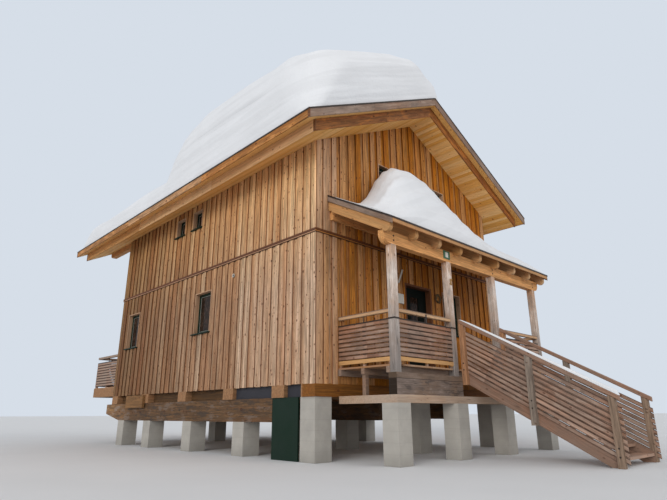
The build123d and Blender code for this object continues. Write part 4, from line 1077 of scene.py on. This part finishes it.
class CHALET_OT_drip_edges(bpy.types.Operator):
    """Dark folded drip edges on the upper roof layer and the porch"""
    bl_idname = "chalet.drip_edges"
    bl_label = "Drip edges"

    def execute(self, context):
        strips = []
        rise = DECK_RISE + COVER_RISE
        reach = EAVE_HIGH.x + 0.008
        for name, thickness, below, above in (("cap", 0.15, 0.001, 0.007), ("lip", 0.005, -0.032, 0.006)):
            for y0, y1 in roof_ends(EAVE_LOW, EAVE_HIGH, thickness, -0.012):
                for sign in (-1, 1):
                    strips.append(rake_board(name, sign, 0.0, reach, y0, y1, rise + below, rise + above))
        top = roof_top(EAVE_HIGH.x)
        for sign in (-1, 1):
            x0, x1 = sorted((sign * (EAVE_HIGH.x + 0.012), sign * (EAVE_HIGH.x + 0.007)))
            strips.append(block("lip", (x0, EAVE_LOW.y, top - 0.034), (x1, EAVE_HIGH.y, top + 0.004), 0.001))
        finish_joined("roof_drip_edges", strips, "dark sheet metal")

        strips = []
        top = porch_top(VERGE_LOW.y)
        lift = (-WALL_Y - VERGE_LOW.y + 0.01) * PORCH_SLOPE
        for face, away in ((VERGE_LOW.x, -1), (VERGE_HIGH.x, 1)):
            for inner, below in ((-0.12, -0.001), (0.007, 0.035)):
                x0, x1 = sorted((face + away * 0.012, face + away * inner))
                piece = block("cap", (x0, VERGE_LOW.y - 0.01, top - below), (x1, -WALL_Y, top + 0.007), 0.001)
                strips.append(tilted(piece, 1, -WALL_Y, lift))
        strips.append(block("lip", (VERGE_LOW.x, VERGE_LOW.y - 0.013, top - 0.032),
                            (VERGE_HIGH.x, VERGE_LOW.y - 0.008, top + 0.006), 0.001))
        finish_joined("porch_drip_edges", strips, "dark sheet metal")
        return {"FINISHED"}


# Snow

def between(table, place):
    """Smooth value between the rows of a (place, value) table."""
    if place <= table[0][0]:
        return table[0][1]
    for (a, low), (b, high) in zip(table, table[1:]):
        if place <= b:
            t = (place - a) / (b - a)
            return low + (high - low) * t * t * (3 - 2 * t)
    return table[-1][1]


# Snow depth along the ridge, and shares of it across the left slope at three places along the house
SNOW_ALONG = [(-5.96, 1.49), (-5.5, 1.75), (-4.7, 1.96), (-3.0, 2.11), (-1.2, 2.2), (-0.25, 2.0), (0.05, 1.7),
              (0.65, 0.62), (1.3, 0.72), (2.7, 0.78), (5.5, 0.74), (7.6, 0.88)]
SNOW_ACROSS = (-4.57, -4.45, -4.2, -3.6, -2.6, -1.6, -0.8, 0.0)
SNOW_FRONT = list(zip(SNOW_ACROSS, (0.73, 0.85, 0.97, 0.99, 0.98, 0.97, 0.9, 0.45)))
SNOW_MIDDLE = list(zip(SNOW_ACROSS, (0.73, 0.85, 0.97, 0.95, 0.84, 0.72, 0.63, 0.56)))
SNOW_REAR = list(zip(SNOW_ACROSS, (0.73, 0.85, 0.97, 1.0, 1.03, 1.05, 1.05, 1.0)))
SNOW_RIGHT = 0.85
PORCH_ACROSS = [(-3.1, 0.03), (-2.85, 0.04), (-2.6, 0.09), (-2.4, 0.25), (-2.2, 0.54), (-2.0, 0.89),
                (-1.75, 1.19), (-1.43, 1.4), (-0.94, 1.49), (-0.39, 1.42), (0.14, 1.19), (0.58, 0.98),
                (1.13, 0.67), (1.76, 0.43), (2.58, 0.29), (3.4, 0.27)]
PORCH_ALONG = [(-6.9, 0.2), (-6.75, 0.34), (-6.5, 0.6), (-6.2, 0.83), (-5.8, 0.97), (-5.45, 1.0),
               (-5.17, 0.95)]


def left_depth(x, y):
    """Plumb depth of the snow on the left slope: a tall brow at the front, a hollow behind it."""
    front = between([(-5.5, 1.0), (-3.8, 0.0)], y)
    rear = between([(-0.2, 0.0), (0.9, 1.0)], y)
    share = (front * between(SNOW_FRONT, x) + rear * between(SNOW_REAR, x)
             + (1 - front - rear) * between(SNOW_MIDDLE, x))
    return between(SNOW_ALONG, y) * share


def roof_snow_depth(x, y):
    """Plumb depth of the snow on the main roof."""
    if x <= 0:
        return left_depth(x, y)
    ridge = left_depth(0.0, y)
    depth = ridge + (SNOW_RIGHT - ridge) * between([(0.0, 0.0), (2.5, 1.0)], x)
    ramp = between([(-5.96, 0.08), (-5.45, 0.9), (-5.1, 1.0)], y)
    return depth * (1 + (ramp - 1) * between([(0.0, 0.0), (0.35, 1.0)], x))


def porch_snow_depth(x, y):
    """Plumb depth of the drift on the porch, which swings to the left towards the eave."""
    shift = 0.7 * (min(max(y, -6.3), -5.1) + 5.6)
    return between(PORCH_ALONG, y) * between(PORCH_ACROSS, x - shift)


def rounded_plan(x, y, half, radius):
    """Place in a rectangle with rounded corners, for a place in the square one, and the way out from it."""
    core = (half[0] - radius, half[1] - radius)
    across, along = abs(x) - core[0], abs(y) - core[1]
    if across <= 0 or along <= 0:
        return x, y, (math.copysign(1.0, x), 0.0) if across > along else (0.0, math.copysign(1.0, y))
    reach = math.hypot(across, along)
    share = max(across, along) / reach
    return (math.copysign(core[0] + across * share, x), math.copysign(core[1] + along * share, y),
            (math.copysign(across / reach, x), math.copysign(along / reach, y)))


def sculpt_snow(name, low, high, base, depth_at, cuts, seed, rim=0.3, edge=0.8, bulge=0.035, round_low=0.35,
                round_high=1.2):
    """Snow shaped from a divided block: rounded rim, depth from a field, slow swells and settled layers."""
    sizes = bpy.context.scene.chalet_snow
    piece = edit_all(block(name, (-1, -1, -1), (1, 1, 1)), bpy.ops.mesh.subdivide, number_cuts=cuts)
    half = ((high[0] - low[0]) / 2, (high[1] - low[1]) / 2)
    middle = ((high[0] + low[0]) / 2, (high[1] + low[1]) / 2)
    spread = 0.9 * math.pi / 2
    for vertex in piece.data.vertices:
        u, v, w = vertex.co
        su, sv = math.sin(u * spread) / math.sin(spread), math.sin(v * spread) / math.sin(spread)
        rise = (w + 1) / 2
        radius = round_low + (round_high - round_low) * rise
        x, y, out = rounded_plan(half[0] * su, half[1] * sv, half, radius)
        x, y = middle[0] + x, middle[1] + y
        depth = depth_at(x, y) * sizes.fullness
        gap = min(half[0] * (1 - abs(su)), half[1] * (1 - abs(sv)))
        ease = min(1.0, gap / rim)
        profile = edge + (1 - edge) * math.sqrt(max(0.0, 1 - (1 - ease) ** 2))
        swell = noise.noise(Vector((x * 0.55 + seed, y * 0.55, 0.3))) * sizes.unevenness
        swell += noise.noise(Vector((x * 2.1, y * 2.1 + seed, 1.7))) * sizes.unevenness * 0.25
        height = (depth * profile + swell * min(1.0, depth)) * rise
        layers = 0.022 * noise.noise(Vector((x * 0.3, y * 0.3, height * 2.7 + seed)))
        layers += 0.007 * noise.noise(Vector((x * 0.8, y * 0.8, height * 9 + seed)))
        push = (bulge * math.sin(math.pi * rise) + layers) * min(1.0, depth)
        if abs(w) < 0.999 < max(abs(u), abs(v)):
            x, y = x + push * out[0], y + push * out[1]
        vertex.co = (x, y, base(x, y) + max(height, 0.0) + 0.001)
    pick(piece)
    bpy.ops.object.shade_smooth()
    return piece


class CHALET_OT_roof_snow(bpy.types.Operator):
    """Deep settled snow on both slopes of the main roof"""
    bl_idname = "chalet.roof_snow"
    bl_label = "Roof snow"

    def execute(self, context):
        low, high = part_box("roof_snow")
        piece = sculpt_snow("roof_snow_cap", low, high, lambda x, y: roof_top(x), roof_snow_depth, 80, 3.0)
        finish_piece(piece, "settled snow", "roof_snow")
        return {"FINISHED"}


class CHALET_OT_porch_snow(bpy.types.Operator):
    """Drift of snow on the porch roof, deep on the left and thin on the right, and snow on a stair rail"""
    bl_idname = "chalet.porch_snow"
    bl_label = "Porch snow"

    def execute(self, context):
        low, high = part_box("porch_snow")
        piece = sculpt_snow("porch_snow_cap", low, high, lambda x, y: porch_top(y), porch_snow_depth, 60, 8.0,
                            0.12, 0.9, 0.02, 0.05, 0.12)
        finish_piece(piece, "settled snow", "porch_snow")
        low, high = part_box("stair_hand_rails")
        depths = [(low.y, 0.075), (low.y + 0.5, 0.06), (-8.2, 0.045), (-7.0, 0.035), (high.y, 0.012)]
        piece = sculpt_snow("stair_rail_snow", (low.x - 0.006, low.y - 0.012), (low.x + 0.096, high.y - 0.02),
                            lambda x, y: high.z + (y - high.y) * STAIR_SLOPE, lambda x, y: between(depths, y),
                            36, 5.0, 0.035, 0.25, 0.006, 0.03, 0.045)
        finish_piece(piece, "settled snow")
        return {"FINISHED"}


# Decks, windows and fittings

def behind_posts(first, last, start):
    """Front end of a porch board, set back where it meets a post."""
    reach = POST_SIZE / 2 + 0.002
    meets = any(first < place + reach and last > place - reach for place in POST_PLACES)
    return POST_FRONT + POST_SIZE + 0.003 if meets else start


def floor_boards(name, node, along, finish, seed, notch=None):
    """Deck boards in place of a plain deck; notch gives the start of a board at a place across."""
    low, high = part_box(node)
    across = 1 - along
    rng = random.Random(seed)
    count = round((high[across] - low[across]) / (bpy.context.scene.chalet_boards.deck + DECK_GAP))
    step = (high[across] - low[across]) / count
    boards = []
    for number in range(count):
        first = low[across] + number * step + DECK_GAP / 2
        last = first + step - DECK_GAP
        a, b = list(low), list(high)
        a[across], b[across] = first, last
        if notch:
            a[along] = notch(first, last, low[along])
        boards.append(give_tone(block("board", a, b, 0.003), rng.random()))
    finish_joined(name, boards, finish, node)


class CHALET_OT_decks(bpy.types.Operator):
    """Boards of the porch deck and of the balcony"""
    bl_idname = "chalet.decks"
    bl_label = "Deck boards"

    def execute(self, context):
        floor_boards("porch_deck_boards", "porch_deck", 1, "deck boards", 41, behind_posts)
        floor_boards("balcony_deck_boards", "balcony_floor", 0, "balcony boards", 42)
        return {"FINISHED"}


class CHALET_OT_glazing_beads(bpy.types.Operator):
    """Grey beads that hold each window pane in its sash"""
    bl_idname = "chalet.glazing_beads"
    bl_label = "Glazing beads"

    def execute(self, context):
        section, bead, proud = 0.092, 0.014, 0.009
        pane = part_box("window_glass")[1].x - WALL_X
        bars = []
        for side, windows in WINDOWS.items():
            for along, width, sill, height in windows:
                a0, a1 = along - width / 2 + section, along + width / 2 - section
                z0, z1 = sill + section, sill + height - section
                for left, right, low, high in (
                        (a0, a0 + bead, z0, z1), (a1 - bead, a1, z0, z1),
                        (a0 + bead, a1 - bead, z0, z0 + bead), (a0 + bead, a1 - bead, z1 - bead, z1)):
                    bars.append(wall_block("bead", side, left, right, pane, pane + proud, low, high, 0.002))
        finish_joined("window_beads", bars, "glazing beads")
        return {"FINISHED"}


def bolt_heads(places, axis, radius=0.013):
    """Bolt heads on their washers, looking down one axis."""
    direction = Vector((0, 0, 0))
    direction[axis] = -1
    washer = bar("washer", radius * 1.6, Vector(), direction * 0.003, 14)
    head = bar("head", radius, direction * 0.002, direction * 0.011, 6)
    template = joined("bolt", [washer, head])
    bolts = [copy_of(template, place) for place in places]
    remove(template)
    return bolts


class CHALET_OT_ironwork(bpy.types.Operator):
    """Bolts in beams and newels, the straps round the two front posts, and a plate at the hand rail"""
    bl_idname = "chalet.ironwork"
    bl_label = "Bolts and straps"

    def execute(self, context):
        bolts = bolt_heads([(x, POST_FRONT, z) for x in POST_PLACES for z in BOLT_HEIGHTS], 1)
        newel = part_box("stair_rails")[0].x
        nosing = [(y, PORCH_DECK_HIGH.z + (y - POST_FRONT) * STAIR_SLOPE) for y, shade in NEWELS]
        places = [(newel, y, level + drop) for y, level in nosing for drop in (0.02, 0.16)]
        bolts += bolt_heads(places, 0, 0.01)
        finish_joined("bolt_heads", bolts, "dark sheet metal")
        straps = []
        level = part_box("porch_rails")[1].z
        half = POST_SIZE / 2 + 0.003
        middle = POST_FRONT + POST_SIZE / 2
        for x in POST_PLACES[:2]:
            strap = block("strap", (x - half, middle - half, level - 0.03),
                          (x + half, middle + half, level + 0.004))
            select_where(strap, "polygons", lambda face: abs(face.normal.z) > 0.9)
            bpy.ops.mesh.inset(thickness=0.0025, depth=-0.004)
            bpy.ops.object.mode_set(mode="OBJECT")
            straps.append(strap)
        finish_joined("post_straps", straps, "dark sheet metal")
        rail_low, rail_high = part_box("porch_hand_rails")
        plate = block("rail_plates", (-1.895, rail_low.y - 0.006, level - 0.012),
                      (-1.85, rail_low.y, rail_high.z - 0.03), 0.002)
        finish_piece(plate, "dark sheet metal")
        return {"FINISHED"}


class CHALET_OT_fittings(bpy.types.Operator):
    """Small things on the house: plate, notice board, dry wreath, straw bunch, vent and packing timber"""
    bl_idname = "chalet.fittings"
    bl_label = "Fittings"

    def execute(self, context):
        wall = -WALL_Y
        for name, low, high, ease, rim, sink, finish, slot in (
                ("house_plate", (-1.10, POST_FRONT - 0.012, 4.27), (-0.845, POST_FRONT, 4.46),
                 0.004, 0.012, 0.003, "plate green", "green_paint"),
                ("house_plate_face", (-1.025, POST_FRONT - 0.0125, 4.305), (-0.92, POST_FRONT - 0.008, 4.425),
                 0.001, 0.008, 0.001, "white paint", None),
                ("notice_board", (-1.02, wall - 0.018, 3.50), (-0.65, wall, 3.75),
                 0.004, 0.018, 0.006, "white paint", None)):
            finish_piece(rimmed(block(name, low, high, ease), 1, rim, sink), finish)
        staff = bar("white_staff", 0.022, (-0.668, wall - 0.024, 4.38), (-0.851, wall - 0.024, 4.01), 12)
        finish_piece(staff, "white paint")

        rng = random.Random(51)
        sprigs = []
        deselect()
        bpy.ops.mesh.primitive_cone_add(vertices=5, radius1=0.011, radius2=0.002, depth=0.085)
        template = bpy.context.active_object
        middle = Vector((0.805, wall - 0.03, 3.845))
        for number in range(90):
            turn = number * math.tau / 90 * 7
            way = Vector((math.cos(turn), rng.uniform(-0.15, 0.15), math.sin(turn)))
            place = middle + way * rng.uniform(0.075, 0.115)
            tilt = (rng.uniform(-0.5, 0.5), -turn + rng.uniform(-0.6, 0.6), rng.uniform(-0.5, 0.5))
            sprigs.append(copy_of(template, place, turn=tilt))
        remove(template)
        finish_joined("dry_wreath", sprigs, "dry sprigs")

        stalks = []
        knot = Vector((-0.89, POST_FRONT - 0.014, 3.74))
        for number in range(22):
            lean = rng.uniform(-0.75, 0.75)
            way = Vector((math.sin(lean), rng.uniform(-0.12, 0.0), math.cos(lean)))
            foot = knot - way * rng.uniform(0.05, 0.08)
            stalks.append(bar("stalk", 0.0035, foot, knot + way * rng.uniform(0.06, 0.09), 5))
        half_tie = Vector((0, 0, 0.012))
        stalks.append(bar("tie", 0.016, knot - half_tie, knot + half_tie, 10))
        finish_joined("straw_bunch", stalks, "straw")

        deselect()
        bpy.ops.mesh.primitive_torus_add(location=(-WALL_X - 0.003, *VENT_PLACE),
                                         rotation=(0, math.pi / 2, 0), major_radius=0.042,
                                         minor_radius=0.009, major_segments=32, minor_segments=8)
        ring = bpy.context.active_object
        bpy.ops.object.shade_smooth()
        finish_joined("vent_ring", [ring], "white paint")
        hole = bar("vent_grille", 0.038, (-WALL_X + 0.01, *VENT_PLACE), (-WALL_X - 0.004, *VENT_PLACE), 24)
        finish_piece(hole, "dark sheet metal")

        joist_low, joist_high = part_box("floor_joists")
        z0, z1 = joist_low.z + 0.002, joist_high.z - 0.002
        for name, finish, face, bays in (
                ("bay_panels", "bay panels", -3.50, ((-4.655, -4.11), (-3.67, -2.16))),
                ("bay_boards", "bay boards", -3.42, ((-1.72, 0.112), (0.552, 2.383), (2.823, 4.655)))):
            panels = [block("panel", (face, y0, z0), (face + 0.02, y1, z1), 0.003) for y0, y1 in bays]
            finish_joined(name, [rimmed(panel, 0, 0.03, 0.002) for panel in panels], finish)
        packing = block("packing_timber", (-3.69, 2.58, 1.10), (-3.602, 3.77, 1.47), 0.006, 2)
        finish_piece(packing, "packing timber")
        return {"FINISHED"}


# Stage

class CHALET_OT_stage(bpy.types.Operator):
    """Pale floor, soft light and the camera"""
    bl_idname = "chalet.stage"
    bl_label = "Studio"

    def execute(self, context):
        studio = context.scene.chalet_studio
        deselect()
        bpy.ops.mesh.primitive_plane_add(size=1200, location=(0, 0, -0.002))
        floor = context.active_object
        floor.name = "studio_floor"
        settle()
        g = Graph("studio floor")
        mottle = g.noise(g.object_place(), 0.6, 2.0)
        base = g.mix(g.remap(mottle, 0.3, 0.7), darker(tuple(studio.floor), 0.97), tuple(studio.floor))
        floor.data.materials.append(g.finish(base, 0.9, specular=0.1))

        g = Graph("studio", "worlds")
        context.scene.world = g.owner
        light = g.put("ShaderNodeBackground", None, {0: (0.93, 0.96, 1.0, 1.0), 1: studio.sky}).outputs[0]
        seen = g.put("ShaderNodeBackground", None, {0: tuple(studio.backdrop), 1: 1.0}).outputs[0]
        rays = g.put("ShaderNodeLightPath").outputs
        seen_by = rays["Is Camera Ray"]
        for ray in ("Is Glossy Ray", "Is Transmission Ray"):
            seen_by = g.math("MAXIMUM", seen_by, rays[ray])
        shown = g.put("ShaderNodeMixShader", None, {0: seen_by, 1: light, 2: seen}).outputs[0]
        g.put("ShaderNodeOutputWorld", None, {0: shown})

        for name, direction, strength, tint, angle in (
                ("key", (0.84, 0.40, -0.27), studio.key, (1.0, 0.97, 0.92), 35.0),
                ("fill", (-0.3, 0.88, -0.3), studio.key * 0.4, (1.0, 0.95, 0.88), 50.0)):
            lamp = bpy.data.lights.new(name, "SUN")
            lamp.energy = strength
            lamp.color = tint
            lamp.angle = math.radians(angle)
            holder = bpy.data.objects.new(name, lamp)
            context.collection.objects.link(holder)
            holder.rotation_mode = "QUATERNION"
            holder.rotation_quaternion = Vector(direction).to_track_quat("-Z", "Y")

        place = (-10.655, -12.997, 0.911)
        yaw, pitch, roll = 0.805978, 0.307932, -0.0049126
        forward = Vector((math.cos(yaw) * math.cos(pitch), math.sin(yaw) * math.cos(pitch), math.sin(pitch)))
        level = Vector((math.sin(yaw), -math.cos(yaw), 0))
        upright = level.cross(forward)
        right = math.cos(roll) * level + math.sin(roll) * upright
        up = math.cos(roll) * upright - math.sin(roll) * level
        camera = bpy.data.objects.new("camera", bpy.data.cameras.new("camera"))
        context.collection.objects.link(camera)
        camera.data.sensor_width = 36.0
        camera.data.lens = studio.lens
        camera.data.clip_end = 400.0
        camera.matrix_world = Matrix([*zip(right, up, -forward, place), (0, 0, 0, 1)])
        context.scene.camera = camera
        context.scene.view_settings.view_transform = "Standard"
        return {"FINISHED"}


OPERATORS = (CHALET_OT_paint, CHALET_OT_cladding, CHALET_OT_soffits, CHALET_OT_eave_boards,
             CHALET_OT_drip_edges, CHALET_OT_roof_snow, CHALET_OT_porch_snow, CHALET_OT_decks,
             CHALET_OT_glazing_beads, CHALET_OT_ironwork, CHALET_OT_fittings, CHALET_OT_stage)
SETTINGS = {"chalet_boards": ChaletBoards, "chalet_snow": ChaletSnow, "chalet_colours": ChaletColours,
            "chalet_studio": ChaletStudio}


class CHALET_PT_panel(bpy.types.Panel):
    """Pieces and settings of the chalet"""
    bl_idname = "CHALET_PT_panel"
    bl_label = "Alpine chalet"
    bl_space_type = "VIEW_3D"
    bl_region_type = "UI"
    bl_category = "Chalet"

    def draw(self, context):
        layout = self.layout
        for operator in OPERATORS:
            layout.operator(operator.bl_idname)
        for name, group in SETTINGS.items():
            box = layout.box()
            for prop in group.__annotations__:
                box.prop(getattr(context.scene, name), prop)


CLASSES = tuple(SETTINGS.values()) + OPERATORS + (CHALET_PT_panel,)


def register():
    for cls in CLASSES:
        bpy.utils.register_class(cls)
    for name, group in SETTINGS.items():
        setattr(bpy.types.Scene, name, PointerProperty(type=group))


def unregister():
    for name in SETTINGS:
        delattr(bpy.types.Scene, name)
    for cls in reversed(CLASSES):
        bpy.utils.unregister_class(cls)


def main():
    """Builds all pieces in order."""
    register()
    bpy.ops.chalet.stage()
    bpy.ops.chalet.paint()
    bpy.ops.chalet.cladding()
    bpy.ops.chalet.soffits()
    bpy.ops.chalet.eave_boards()
    bpy.ops.chalet.drip_edges()
    bpy.ops.chalet.roof_snow()
    bpy.ops.chalet.porch_snow()
    bpy.ops.chalet.decks()
    bpy.ops.chalet.glazing_beads()
    bpy.ops.chalet.ironwork()
    bpy.ops.chalet.fittings()


if __name__ == "__main__":
    main()
